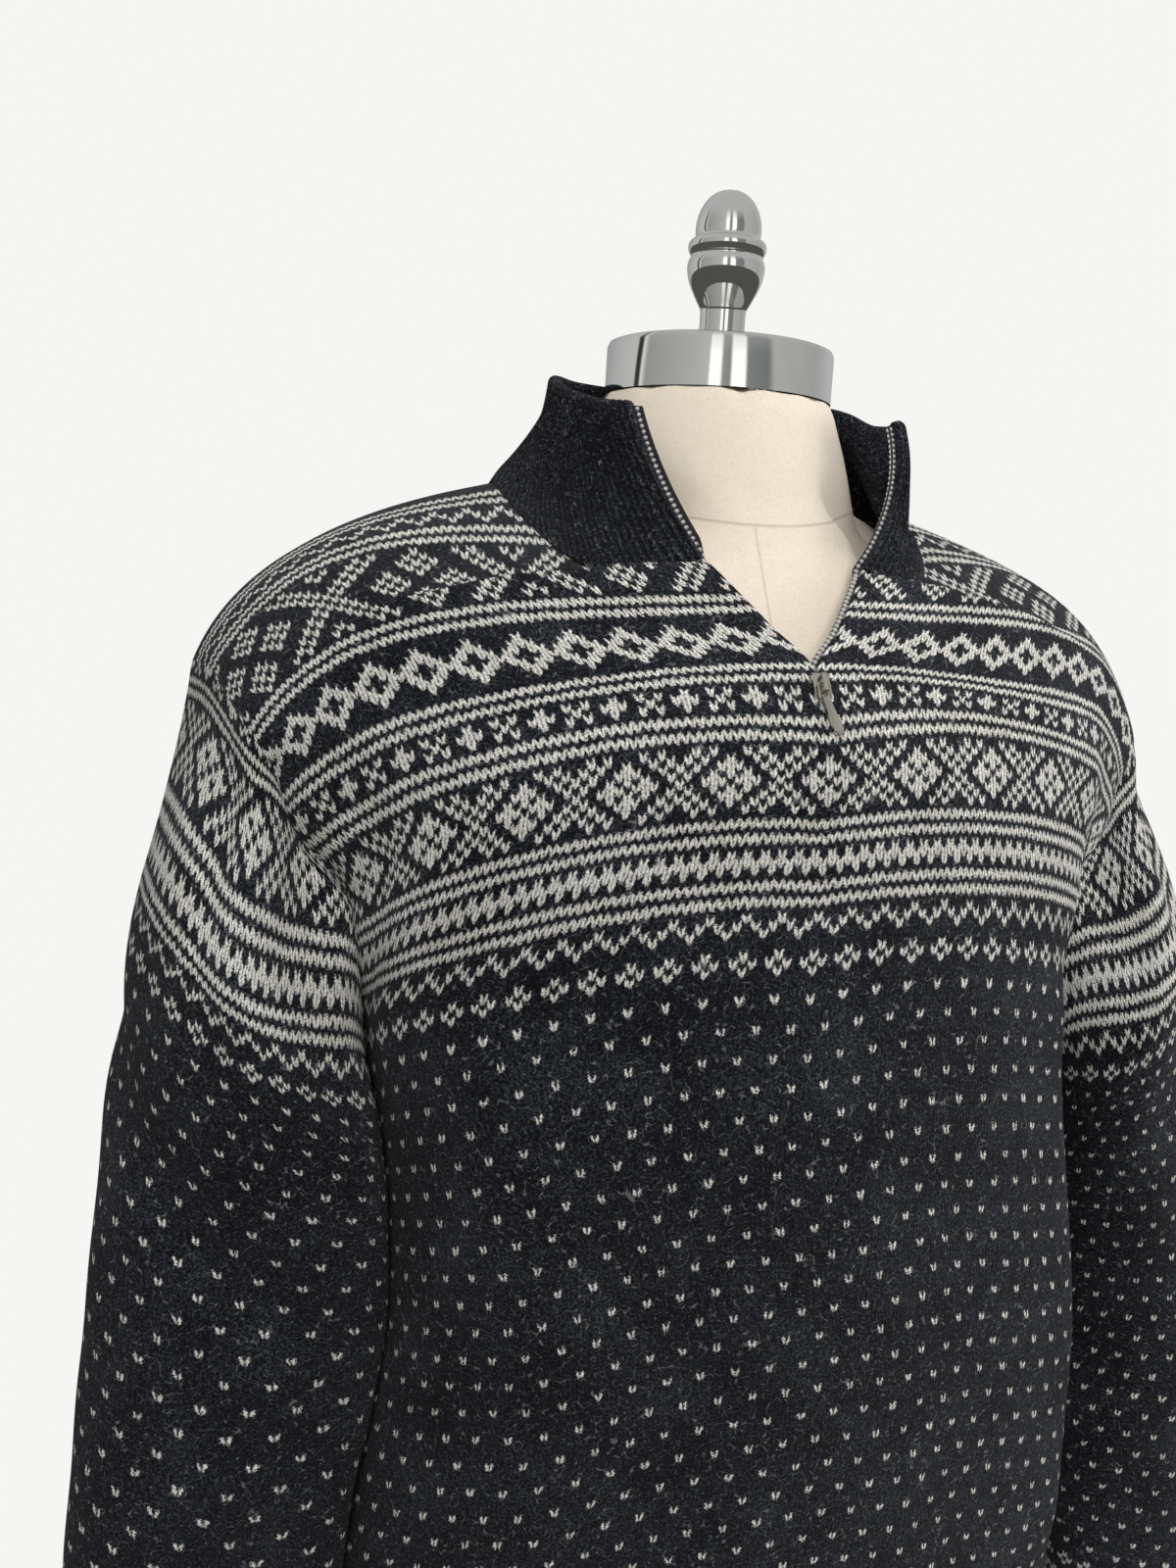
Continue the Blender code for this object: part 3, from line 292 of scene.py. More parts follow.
# The lens, in millimetres on a 36 mm sensor, and the floor, in metres.
LENS = 33.75
FLOOR_RADIUS = 40.0

# What the chrome mirrors, round the horizon: light walls, a dark door and two windows.
ROOM = (
    (0.0, "#8f9192"), (0.1, "#a9abac"), (0.176, "#b4b5b5"), (0.183, "#2e3032"), (0.197, "#33363a"),
    (0.203, "#d0d1d1"), (0.22, "#8f9191"), (0.36, "#a4a6a6"), (0.41, "#b0b2b2"), (0.414, "#ffffff"),
    (0.444, "#ffffff"), (0.448, "#8e9092"), (0.471, "#808284"), (0.475, "#ffffff"), (0.513, "#ffffff"),
    (0.517, "#7c7f81"), (0.58, "#6f7274"), (0.6, "#a5a7a7"), (0.75, "#9a9c9d"), (0.85, "#a9abac"),
    (1.0, "#8f9192"),
)
ROOM_LIGHT = 0.5
# Each light's place, what it faces, its size in metres and its power.
LIGHTS = (
    ("window_front", (-0.1, -2.1, 3.1), (0.0, 0.0, 1.4), (2.2, 1.6), 47.0),
    ("window_left", (-0.9, -1.3, 2.5), (0.1, 0.0, 1.45), (0.8, 0.8), 7.0),
    ("window_right", (2.2, -0.7, 1.5), (0.1, 0.0, 1.0), (1.2, 1.2), 30.0),
    ("behind", (0.3, 1.6, 2.6), (0.0, 0.0, 1.3), (2.0, 1.2), 14.0),
)

# The form's linen, in metres: a drawn thread, the neck's radius and axis, and its seams.
LINEN_THREAD = 0.0009
LINEN_NECK = 0.075
NECK_AXIS_Y = -POLE_Y * 0.01
SEAM_HEIGHT = (RIM_ABOVE_FLOOR - 6.6) * 0.01
SEAM_SAG = 2.5
SEAM_X = -0.009

# The teeth, in centimetres.
TAPE_STEPS = 120
TOOTH_PITCH = 0.29
TOOTH_PLACE = 0.45
TAPE_FACING = 0.5
TOOTH_SIZE = (0.17, 0.125, 0.16)


def place(points):
    """Centimetres from the neck rim to metres above the floor."""
    return (np.asarray(points, float) - (0.0, POLE_Y, -RIM_ABOVE_FLOOR)) * 0.01


def ease(x):
    """A soft step from 0 to 1."""
    x = np.clip(x, 0.0, 1.0)
    return x * x * (3.0 - 2.0 * x)


def through(table, x):
    """A smooth curve through a table whose first column is x: a cubic from row to row."""
    table = np.array(table, float)
    at, rows = table[:, 0], table[:, 1:]
    slopes = np.gradient(rows, at, axis=0)
    x = np.clip(np.asarray(x, float), at[0], at[-1])
    i = np.clip(np.searchsorted(at, x, side="right") - 1, 0, len(at) - 2)
    step = (at[i + 1] - at[i])[..., None]
    s = (x[..., None] - at[i][..., None]) / step
    value = (2 * s ** 3 - 3 * s ** 2 + 1) * rows[i] + (3 * s ** 2 - 2 * s ** 3) * rows[i + 1]
    return value + step * ((s ** 3 - 2 * s ** 2 + s) * slopes[i] + (s ** 3 - s ** 2) * slopes[i + 1])


def sway(z):
    """How far the loose lower body hangs towards the viewer's right."""
    return 3.0 * ease((-26.0 - z) / 24.0)


def neck_base(face):
    return FRONT_NECK if face < 0 else BACK_NECK


def neck_angle(level, face):
    """0 at the middle of the neckline, a quarter turn at the shoulder."""
    rise = (level - neck_base(face)) / (TOP - neck_base(face))
    return np.arccos(1.0 - np.clip(rise, 0.0, 1.0))


def neckline(angle, face):
    """The neck seam: a drooping quarter oval in front, a level one behind."""
    c, s = np.cos(angle), np.sin(angle)
    if face < 0:
        return np.stack([4.0 + 7.2 * s, 1.4 - 11.0 * c, -5.0 - 3.3 * c - 4.0 * s * c * c], -1)
    return np.stack([11.2 * s, 1.4 + 7.3 * c, -5.0 - 0.4 * c], -1)


def bezier(t, ends):
    """A cubic from the first point to the last, drawn by the two between them."""
    t = t[..., None]
    a, b, c, d = ends
    return (1 - t) ** 3 * a + 3 * t * (1 - t) ** 2 * b + 3 * t * t * (1 - t) * c + t ** 3 * d


def folded(table, across, level):
    """The height of the soft folds: each a bell across its line, fading at its ends."""
    height = np.zeros(np.shape(across))
    for a0, l0, a1, l1, width, rise in table:
        run = np.array([a1 - a0, l1 - l0])
        length = np.hypot(*run)
        along = ((across - a0) * run[0] + (level - l0) * run[1]) / length
        beside = ((across - a0) * run[1] - (level - l0) * run[0]) / length
        ends = ease(along / 5.0 + 0.5) * ease((length - along) / 5.0 + 0.5)
        height += rise * np.exp(-((beside / width) ** 2)) * ends
    return height


def panel(u, level, face):
    """A point of the front (face -1) or back (face 1): each course is a cubic from the
    centre line past its bend point to the seam, walked by its own length."""
    side = np.where(u < 0, -1.0, 1.0)
    u = np.abs(u)
    start = through(FRONT_EDGE if face < 0 else BACK_EDGE, level)
    start[..., 0] = np.where(level < SLIDER_LEVEL, 0.0, start[..., 0])
    angle = neck_angle(level, face)
    in_neck = level > neck_base(face)
    start[in_neck] = neckline(angle, face)[in_neck]
    first = NECK_HALF * np.sin(angle)
    row = through(FRONT_COURSES if face < 0 else BACK_COURSES, level)
    lead = np.stack([row[..., 0], 0.0 * level, -row[..., 1]], -1)
    ends = (start, start + lead, row[..., 2:5], row[..., 5:8])
    steps = np.linspace(0.0, 1.0, 33)
    walked = bezier(np.broadcast_to(steps, level.shape + (33,)), [e[..., None, :] for e in ends])
    lengths = np.cumsum(np.linalg.norm(np.diff(walked, axis=-2), axis=-1), axis=-1)
    lengths = np.concatenate([np.zeros(level.shape + (1,)), lengths], -1)
    goal = np.clip((u - first) / (HALF_WIDTH - first), 0.0, 1.0) * lengths[..., -1]
    i = np.clip((lengths < goal[..., None]).sum(-1) - 1, 0, 31)[..., None]
    low = np.take_along_axis(lengths, i, -1)[..., 0]
    high = np.take_along_axis(lengths, i + 1, -1)[..., 0]
    point = bezier((i[..., 0] + (goal - low) / (high - low)) / 32.0, ends)
    point[..., 0] = point[..., 0] * side + sway(point[..., 2])
    return point


def armhole(across):
    """The armhole seam: 0 at the shoulder, down the front for +, down the back for -."""
    level = TOP - np.abs(across) * (TOP - UNDERARM) / ARMHOLE
    front = through(FRONT_COURSES, level)[..., 5:8]
    back = through(BACK_COURSES, level)[..., 5:8]
    return np.where((across >= 0)[..., None], front, back)


def sleeve(across, down, side):
    """A sleeve: the armhole seam hangs down and turns into tilted ovals. The right one
    follows the body's sway on its inner side and lies flat against the body there: a soft
    minimum keeps it off the side seam, and gaps beside the seam are closed up."""
    ring = through(SLEEVE_RINGS, down)
    turn = across / ARMHOLE * math.pi
    outer, inner, depth = ring[..., 0:3], ring[..., 3:6], ring[..., 6]
    point = (outer + inner) / 2 + (outer - inner) / 2 * np.cos(turn)[..., None]
    inward = (1 - np.cos(turn)) / 2
    point[..., 1] -= depth * np.sin(turn) * (FULL_OUTSIDE - FLAT_INSIDE * inward if side < 0 else 1.0)
    if side < 0:
        tucked = INSIDE_TUCK * ease((-33.0 - point[..., 2]) / 5.0)
        follow = inward * (sway(point[..., 2]) + tucked)
    else:
        follow = 2 * sway(point[..., 2])
    point[..., 0] = point[..., 0] * side + follow
    seam = armhole(across)
    seam[..., 0] = seam[..., 0] * side + sway(seam[..., 2])
    seam[..., 0] += np.maximum(side, 0) * SEAM_SPREAD * down * (1 - np.cos(turn))
    seam[..., 2] -= SEAM_FALL * down
    blend = ease(down / SEAM_REACH)[..., None]
    point = seam * (1 - blend) + point * blend
    if side < 0:
        beside = np.array(FRONT_COURSES)[:5]
        body = sway(point[..., 2]) - np.interp(point[..., 2], beside[:, 8], beside[:, 6])
        limit = body - PRESS_GAP
        pressed = -PRESS_SOFT * np.logaddexp(-point[..., 0] / PRESS_SOFT, -limit / PRESS_SOFT)
        point[..., 0] += (pressed - point[..., 0]) * ease(down / 3.0)
        point[..., 0] += np.clip(limit - point[..., 0], 0.0, 2.0) * inward ** 3 * ease(down / 1.5)
    return point


def collar_top(q):
    """The collar's upper edge, from q = 0 at the back to 1 or -1 at the zip."""
    turn = np.radians(135.3) * np.abs(q)
    depth = 6.8 + 3.2 * ease((turn - 1.2) / 1.15)
    z = 1.0 - 0.5 * (1 - np.cos(turn)) - 1.55 * ease((turn - 1.3) / 1.06)
    return np.stack([9.1 * np.sin(turn), 0.4 + depth * np.cos(turn), z], -1)


def collar_base(q):
    """The neck seam as the collar goes round it, in straight steps of a panel's cell."""
    cells = np.abs(q) * 2 * NECK_CELLS
    knots = np.arange(2 * NECK_CELLS + 1)
    front = knots >= NECK_CELLS
    angle = np.where(front, 2 * NECK_CELLS - knots, knots) * (math.pi / 2 / NECK_CELLS)
    corners = np.where(front[:, None], neckline(angle, -1), neckline(angle, 1))
    return np.stack([np.interp(cells, knots, corners[:, k]) for k in range(3)], -1)


def collar(q, rise):
    """The collar: from the neck seam it turns up and in to its upper edge. rise is 0 to 1."""
    base, top = collar_base(q), collar_top(q)
    lean = np.array([0.12, 0.12, 0.5]) * np.ones(base.shape)
    lean[..., 1] += 0.38 * ease((np.abs(q) - 0.7) / 0.3)
    bend = top + lean * (base - top)
    r = rise[..., None]
    point = (1 - r) ** 2 * base + 2 * r * (1 - r) * bend + r * r * top
    point[..., 0] *= np.where(q < 0, -1.0, 1.0)
    turned = np.abs(q)
    belly = 4 * rise * (1 - rise)
    drawn = 1.1 * np.exp(-(((turned - 0.5) / 0.22) ** 2)) - 0.5 * ease((turned - 0.8) / 0.2)
    hollow = 0.9 * np.exp(-(((turned - 0.7) / 0.15) ** 2))
    opened = 0.45 * ease((turned - 0.75) / 0.25) * belly - hollow * belly
    point[..., 0] += np.where(q < 0, drawn * rise, opened + 0.15 * ease((turned - 0.8) / 0.2) * rise)
    dropped = 0.7 * np.exp(-(((turned - 0.66) / 0.14) ** 2)) - 0.3 * ease((turned - 0.8) / 0.2)
    point[..., 2] -= np.where(q < 0, 0.0, dropped * rise)
    return point


def facing(grid, wrap=False):
    """Normals of a grid of points: the slope along a row crossed with the slope up it."""
    if wrap:
        padded = np.concatenate([grid[:, -2:-1], grid, grid[:, 1:2]], axis=1)
        along = np.gradient(padded, axis=1)[:, 1:-1]
    else:
        along = np.gradient(grid, axis=1)
    normal = np.cross(along, np.gradient(grid, axis=0))
    return normal / np.linalg.norm(normal, axis=-1, keepdims=True)


def lean_together(pieces):
    """Points that coincide lean their walls the same way, whichever pieces they are of."""
    points = np.concatenate([grid.reshape(-1, 3) for grid, normal in pieces])
    normals = np.concatenate([normal.reshape(-1, 3) for grid, normal in pieces])
    spot = np.unique(np.round(points * 997.0), axis=0, return_inverse=True)[1].reshape(-1)
    total = np.zeros((spot.max() + 1, 3))
    np.add.at(total, spot, normals)
    total /= np.linalg.norm(total, axis=-1, keepdims=True)
    first = 0
    for grid, normal in pieces:
        count = grid.shape[0] * grid.shape[1]
        normal[...] = total[spot[first:first + count]].reshape(normal.shape)
        first += count


def tube_index(rows, cols):
    """A tube's last column is its first."""
    index = np.arange(rows * cols).reshape(rows, cols)
    index[:, -1] = index[:, 0]
    return index


def panel_layout(face):
    """Where the grid's points lie on the layout: even below the underarm, and above it
    spread so that the top row follows the neckline and the shoulder."""
    angle = np.linspace(0.0, math.pi / 2, NECK_CELLS + 1)
    shoulder = np.linspace(NECK_HALF, HALF_WIDTH, SHOULDER_CELLS + 1)[1:]
    top_u = np.concatenate([NECK_HALF * np.sin(angle), shoulder])
    low, high = neck_base(face), TOP
    neck_level = low + (high - low) * (1 - np.cos(angle))
    top_level = np.concatenate([neck_level, np.full(SHOULDER_CELLS, TOP)])
    even = np.linspace(0.0, HALF_WIDTH, len(top_u))
    climb = np.linspace(0.0, 1.0, ARM_ROWS + 1)[:, None]
    upper_u = even + (top_u - even) * ease(climb)
    upper_level = UNDERARM + (top_level - UNDERARM) * climb
    low_level = np.linspace(HEM_LEVEL, UNDERARM, LOW_ROWS + 1)[:-1, None]
    u = np.concatenate([np.tile(even, (LOW_ROWS, 1)), upper_u])
    level = np.concatenate([np.tile(low_level, (1, len(even))), upper_level])
    return u, level


def body_grids(face, folds):
    """The two halves of a panel, as grids that run from left to right, with their normals."""
    u, level = panel_layout(face)
    halves = []
    for side in (-1, 1):
        across = side * u[:, ::side]
        grid = panel(across, level[:, ::side], face)
        if side < 0:
            grid[..., 0] = np.where(across == 0, 2 * sway(grid[..., 2]) - grid[..., 0], grid[..., 0])
        fade = ease((HALF_WIDTH - np.abs(across)) / 2.0) * ease((level[:, ::side] - HEM_LEVEL) / 4.0)
        height = folded(folds, across, level[:, ::side]) * fade
        grid = grid - face * facing(grid) * height[..., None]
        halves.append([grid, -face * facing(grid)])
    return halves


def hanging_axes(high, low):
    """Rows across the zip, up it and out from it, for what hangs from one point to another."""
    down = (low - high) / np.linalg.norm(low - high)
    across = np.array([1.0, 0.0, 0.0])
    return np.array([across, -down, np.cross(across, -down)])


def linear(hex_colour):
    """An sRGB colour as the linear one that a shader takes."""
    srgb = np.array([int(hex_colour[k:k + 2], 16) for k in (1, 3, 5)]) / 255
    value = np.where(srgb < 0.04045, srgb / 12.92, ((srgb + 0.055) / 1.055) ** 2.4)
    return (*value.tolist(), 1.0)


def node(tree, kind, inputs=(), **settings):
    """Adds a node. Each input is given a value, or the node or socket that it is linked to."""
    made = tree.nodes.new(kind)
    for name, value in settings.items():
        setattr(made, name, value)
    for socket, value in dict(inputs).items():
        if isinstance(value, bpy.types.Node):
            value = value.outputs[0]
        if isinstance(value, bpy.types.NodeSocket):
            tree.links.new(value, made.inputs[socket])
        else:
            made.inputs[socket].default_value = value
    return made


def surface(name, **values):
    """A material with the values of its shader's sockets, named with underscores."""
    material = bpy.data.materials.new(name)
    material.use_nodes = True
    shader = material.node_tree.nodes["Principled BSDF"]
    for socket, value in values.items():
        shader.inputs[socket.replace("_", " ")].default_value = value
    return material, material.node_tree, shader


def chart_masks():
    """Each row of the chart as two whole numbers of twelve stitches, one bit a stitch."""
    rows = np.zeros((CHART_ROWS, CHART_REPEAT), int)
    for first, band in BANDS:
        for k, row in enumerate(band):
            assert CHART_REPEAT % len(row) == 0, row
            rows[first + k] = np.array([c == "X" for c in row * (CHART_REPEAT // len(row))])
    bits = 2 ** np.arange(HALF_REPEAT)
    return rows[:, :HALF_REPEAT] @ bits, rows[:, HALF_REPEAT:] @ bits


def stitch_legs(tree, u, v):
    """Which column and row of stitches a place on the map is in, and how high the yarn lies
    there: each stitch is two legs that climb away from its middle, high along their own
    middles and tucked in at the row's ends."""
    column = node(tree, MATH, {0: u}, operation="FLOOR")
    across = node(tree, MATH, {0: u}, operation="FRACT")
    across = node(tree, MATH, {0: across, 1: 0.5}, operation="SUBTRACT")
    across = node(tree, MATH, {0: across}, operation="ABSOLUTE")
    climbed = node(tree, MATH, {0: across, 1: -LEG_CLIMB, 2: v}, operation="MULTIPLY_ADD")
    climbed = node(tree, MATH, {0: climbed, 1: LEG_CLIMB / 4}, operation="ADD")
    row = node(tree, MATH, {0: climbed}, operation="FLOOR")

    leg = node(tree, MATH, {0: across, 1: 4.0, 2: -1.0}, operation="MULTIPLY_ADD")
    leg = node(tree, MATH, {0: leg, 1: leg}, operation="MULTIPLY")
    along = node(tree, MATH, {0: climbed}, operation="FRACT")
    along = node(tree, MATH, {0: along, 1: 2.0, 2: -1.0}, operation="MULTIPLY_ADD")
    along = node(tree, MATH, {0: along, 1: along}, operation="MULTIPLY")
    relief = node(tree, MATH, {0: leg, 1: -0.85, 2: 1.0}, operation="MULTIPLY_ADD")
    tuck = node(tree, MATH, {0: along, 1: -0.45, 2: 1.0}, operation="MULTIPLY_ADD")
    return column, row, node(tree, MATH, {0: relief, 1: tuck}, operation="MULTIPLY")


def knitting(name, patterned, mirrored=False):
    """Lambswool stocking stitch, lightly felted: matt and hairy, each stitch two slanting
    legs of soft yarn. The yarn is a charcoal heather with pale hairs, and the pattern a cream
    one. The surface's own map counts stitches across and rows up. A row bends up on both
    sides of a stitch's middle, so the stitch is a V; the row and stitch numbers look up the
    chart, whose rows are kept as bits of two numbers in ramps that don't blend."""
    material, tree, shader = surface(
        name, Roughness=0.95, Specular_IOR_Level=0.12, Sheen_Weight=0.05, Sheen_Roughness=0.5)
    spread = node(tree, "ShaderNodeUVMap", uv_map="stitches")
    spot = node(tree, "ShaderNodeTexCoord").outputs["Object"]
    for scale, reach in ((130.0, (0.65, 0.75, 0.0)), (1500.0, (0.8, 0.9, 0.0))):
        drift = node(tree, NOISE, {"Vector": spot, "Scale": scale, "Detail": 2.0})
        drift = node(tree, VECTOR, {0: drift.outputs["Color"], 1: (-0.5, -0.5, 0.0)}, operation="ADD")
        drift = node(tree, VECTOR, {0: drift, 1: reach}, operation="MULTIPLY")
        spread = node(tree, VECTOR, {0: spread, 1: drift}, operation="ADD")
    split = node(tree, "ShaderNodeSeparateXYZ", {0: spread})
    u, v = split.outputs[0], split.outputs[1]
    column, row, relief = stitch_legs(tree, u, v)
    heather = node(tree, NOISE, {"Vector": spot, "Scale": 900.0, "Detail": 3.0, "Roughness": 0.7})
    patchy = node(tree, NOISE, {"Vector": spot, "Scale": 25.0, "Detail": 2.0})
    mottled = node(tree, MATH, {0: patchy, 1: 0.2, 2: heather}, operation="MULTIPLY_ADD")
    charcoal = node(tree, RAMP, {"Fac": mottled})
    stops(charcoal, ((0.46, "#090a0d"), (0.6, "#13151a"), (0.76, "#484c53")))
    cream = node(tree, RAMP, {"Fac": mottled})
    stops(cream, ((0.4, "#c2bdb1"), (0.56, "#e6e2d8"), (0.74, "#fbf9f3")))

    yarn = charcoal.outputs["Color"]
    if patterned:
        white, alone = chart_lookup(tree, column, row, mirrored)
        edge = node(tree, MATH, {0: alone, 1: 0.3, 2: 0.22}, operation="MULTIPLY_ADD")
        cover = node(tree, MATH, {0: relief, 1: edge}, operation="SUBTRACT")
        cover = node(tree, RANGE, {"Value": cover, "From Max": 0.2})
        white = node(tree, MATH, {0: white, 1: cover.outputs[0]}, operation="MULTIPLY")
        yarn = node(tree, MIX, {"Factor": white, 6: yarn, 7: cream.outputs["Color"]}, data_type="RGBA")
        yarn = yarn.outputs[2]
    # Painted shade: the yarn's colour is darkened where its legs dip, between stitches and at the rows'
    # ends.
    shade = node(tree, RANGE, {"Value": relief, "From Max": 0.85, "To Min": 0.35, "To Max": 1.0})
    if not patterned:
        # Painted shade and light on the ribs: the colour is darkened in each rib's furrow and
        # brightened on its ridge.
        rib_painted_shade = node(tree, MATH, {0: split.outputs[0], 1: math.pi}, operation="MULTIPLY")
        rib_painted_shade = node(tree, MATH, {0: rib_painted_shade}, operation="COSINE")
        rib_painted_shade = node(tree, RANGE, {
            "Value": rib_painted_shade, "From Min": -0.9, "From Max": 0.3, "To Min": 0.4, "To Max": 1.35})
        shade = node(tree, MATH, {0: shade, 1: rib_painted_shade}, operation="MULTIPLY")
    yarn = node(tree, VECTOR, {0: yarn, "Scale": shade.outputs[0]}, operation="SCALE").outputs[0]

    hair = {"Factor": stray_hairs(tree, spot), 6: yarn, 7: linear("#9a9c9e")}
    yarn = node(tree, MIX, hair, data_type="RGBA")
    tree.links.new(yarn.outputs[2], shader.inputs["Base Color"])

    fuzz = node(tree, MATH, {0: heather, 1: 0.5, 2: relief}, operation="MULTIPLY_ADD")
    bump = node(tree, "ShaderNodeBump", {"Height": fuzz, "Strength": 0.8, "Distance": 0.0007})
    tree.links.new(bump.outputs[0], shader.inputs["Normal"])
    return material


def stray_hairs(tree, spot):
    """How much of a pale stray hair lies at a spot: thin curves where a slow noise passes
    its middle value, broken up by a second noise."""
    lock = node(tree, NOISE, {"Vector": spot, "Scale": 210.0, "Detail": 0.0, "Distortion": 0.6})
    lock = node(tree, MATH, {0: lock, 1: 0.5, 2: 0.018}, operation="COMPARE")
    where = node(tree, NOISE, {"Vector": spot, "Scale": 420.0, "Detail": 1.0})
    where = node(tree, RANGE, {"Value": where, "From Min": 0.45, "From Max": 0.62, "To Max": 0.42})
    return node(tree, MATH, {0: lock, 1: where.outputs[0]}, operation="MULTIPLY")


def stops(ramp, colours):
    """Sets a ramp's stops, each a position and an sRGB colour."""
    elements = ramp.color_ramp.elements
    while len(elements) < len(colours):
        elements.new(1.0)
    for element, (position, hex_colour) in zip(elements, colours):
        element.position = position
    for element, (position, hex_colour) in zip(elements, colours):
        element.color = linear(hex_colour)


def chart_lookup(tree, column, row, mirrored):
    """1 where the chart has a cream stitch, and 1 where that stands alone under the chart:
    there a stitch in four of a row in four is cream, each such row two stitches on from the
    last. Three ramps hold thirty rows each, black at both ends, so that their sum is the
    row's two numbers."""
    if mirrored:
        back = node(tree, MATH, {0: float(MIRROR_ROW), 1: row}, operation="SUBTRACT")
        row = node(tree, MATH, {0: row, 1: back}, operation="MAXIMUM")
    low, high = chart_masks()
    scale = 2.0 ** HALF_REPEAT
    total = None
    for part in range(3):
        first = part * 30
        at = node(tree, MATH, {0: row, 1: 1.5 - first}, operation="ADD")
        at = node(tree, MATH, {0: at, 1: 255.0}, operation="DIVIDE")
        ramp = node(tree, RAMP, {"Fac": at})
        ramp.color_ramp.interpolation = "CONSTANT"
        elements = ramp.color_ramp.elements
        elements[1].position = 30.5 / 255
        elements[1].color = (0.0, 0.0, 0.0, 1.0)
        elements[0].color = (0.0, 0.0, 0.0, 1.0)
        for k in range(30):
            stop = elements.new((k + 0.5) / 255)
            stop.color = (low[first + k] / scale, high[first + k] / scale, 0.0, 1.0)
        if total is None:
            total = ramp.outputs["Color"]
        else:
            total = node(tree, VECTOR, {0: total, 1: ramp.outputs["Color"]}, operation="ADD").outputs[0]
    masks = node(tree, "ShaderNodeSeparateXYZ", {0: total})
    stitch = node(tree, MATH, {0: column, 1: float(CHART_REPEAT)}, operation="FLOORED_MODULO")
    second = node(tree, MATH, {0: stitch, 1: HALF_REPEAT - 0.5}, operation="GREATER_THAN")
    mask = node(tree, MIX, {"Factor": second, 2: masks.outputs[0], 3: masks.outputs[1]})
    mask = node(tree, MATH, {0: mask, 1: scale}, operation="MULTIPLY")
    bit = node(tree, MATH, {0: second, 1: -float(HALF_REPEAT), 2: stitch}, operation="MULTIPLY_ADD")
    power = node(tree, MATH, {0: 2.0, 1: bit}, operation="POWER")
    shifted = node(tree, MATH, {0: mask, 1: 0.01}, operation="ADD")
    shifted = node(tree, MATH, {0: shifted, 1: power}, operation="DIVIDE")
    shifted = node(tree, MATH, {0: shifted}, operation="FLOOR")
    charted = node(tree, MATH, {0: shifted, 1: 2.0}, operation="FLOORED_MODULO")
    single = single_stitches(tree, row, stitch)
    return node(tree, MATH, {0: single, 1: charted}, operation="MAXIMUM"), single


def single_stitches(tree, row, stitch):
    """1 where a lone cream stitch of the ground below the chart's first row lies."""
    in_row = node(tree, MATH, {0: row, 1: 4.0}, operation="FLOORED_MODULO")
    in_row = node(tree, MATH, {0: in_row, 1: 0.5}, operation="LESS_THAN")
    turn = node(tree, MATH, {0: row, 1: 8.0}, operation="FLOORED_MODULO")
    turn = node(tree, MATH, {0: turn, 1: 0.5}, operation="MULTIPLY")
    of_four = node(tree, MATH, {0: stitch, 1: 4.0}, operation="FLOORED_MODULO")
    single = node(tree, MATH, {0: of_four, 1: turn, 2: 0.5}, operation="COMPARE")
    single = node(tree, MATH, {0: single, 1: in_row}, operation="MULTIPLY")
    under = node(tree, MATH, {0: row, 1: -0.5}, operation="LESS_THAN")
    return node(tree, MATH, {0: single, 1: under}, operation="MULTIPLY")


def woven_tape():
    """Polyester zip tape, woven in a fine herringbone: dark, flat and a little silky."""
    material, tree, shader = surface("dark woven zip tape", Roughness=0.8, Sheen_Weight=0.15)
    grid = node(tree, "ShaderNodeUVMap", uv_map="stitches")
    split = node(tree, "ShaderNodeSeparateXYZ", {0: grid})
    side = node(tree, MATH, {0: split.outputs[0], 1: 1.0}, operation="PINGPONG")
    slant = node(tree, MATH, {0: side, 1: 1.0, 2: split.outputs[1]}, operation="MULTIPLY_ADD")
    thread = node(tree, MATH, {0: slant, 1: math.pi * 4}, operation="MULTIPLY")
    thread = node(tree, MATH, {0: thread}, operation="SINE")
    ramp = node(tree, RANGE, {"Value": thread, "From Min": -1.0})
    dark = node(tree, MIX, {
        "Factor": ramp.outputs[0], 6: linear("#141415"), 7: linear("#2c2b2b")}, data_type="RGBA")
    tree.links.new(dark.outputs[2], shader.inputs["Base Color"])
    bump = node(tree, "ShaderNodeBump", {"Height": thread, "Strength": 0.4, "Distance": 0.0002})
    tree.links.new(bump.outputs[0], shader.inputs["Normal"])
    return material


def worn_metal(name, hex_colour, dull_hex, roughness, scuff):
    """Plated metal: bright, with faint handling marks that roughen it in places."""
    material, tree, shader = surface(name, Metallic=1.0)
    spot = node(tree, "ShaderNodeTexCoord").outputs["Object"]
    marks = node(tree, NOISE, {"Vector": spot, "Scale": scuff, "Detail": 6.0, "Roughness": 0.65})
    rough = node(tree, RANGE, {
        "Value": marks, "From Min": 0.35, "From Max": 0.75,
        "To Min": roughness, "To Max": roughness * 1.9 + 0.02})
    tree.links.new(rough.outputs[0], shader.inputs["Roughness"])
    tint = node(tree, MIX, {
        "Factor": marks, 6: linear(hex_colour), 7: linear(dull_hex)}, data_type="RGBA")
    tree.links.new(tint.outputs[2], shader.inputs["Base Color"])
    return material


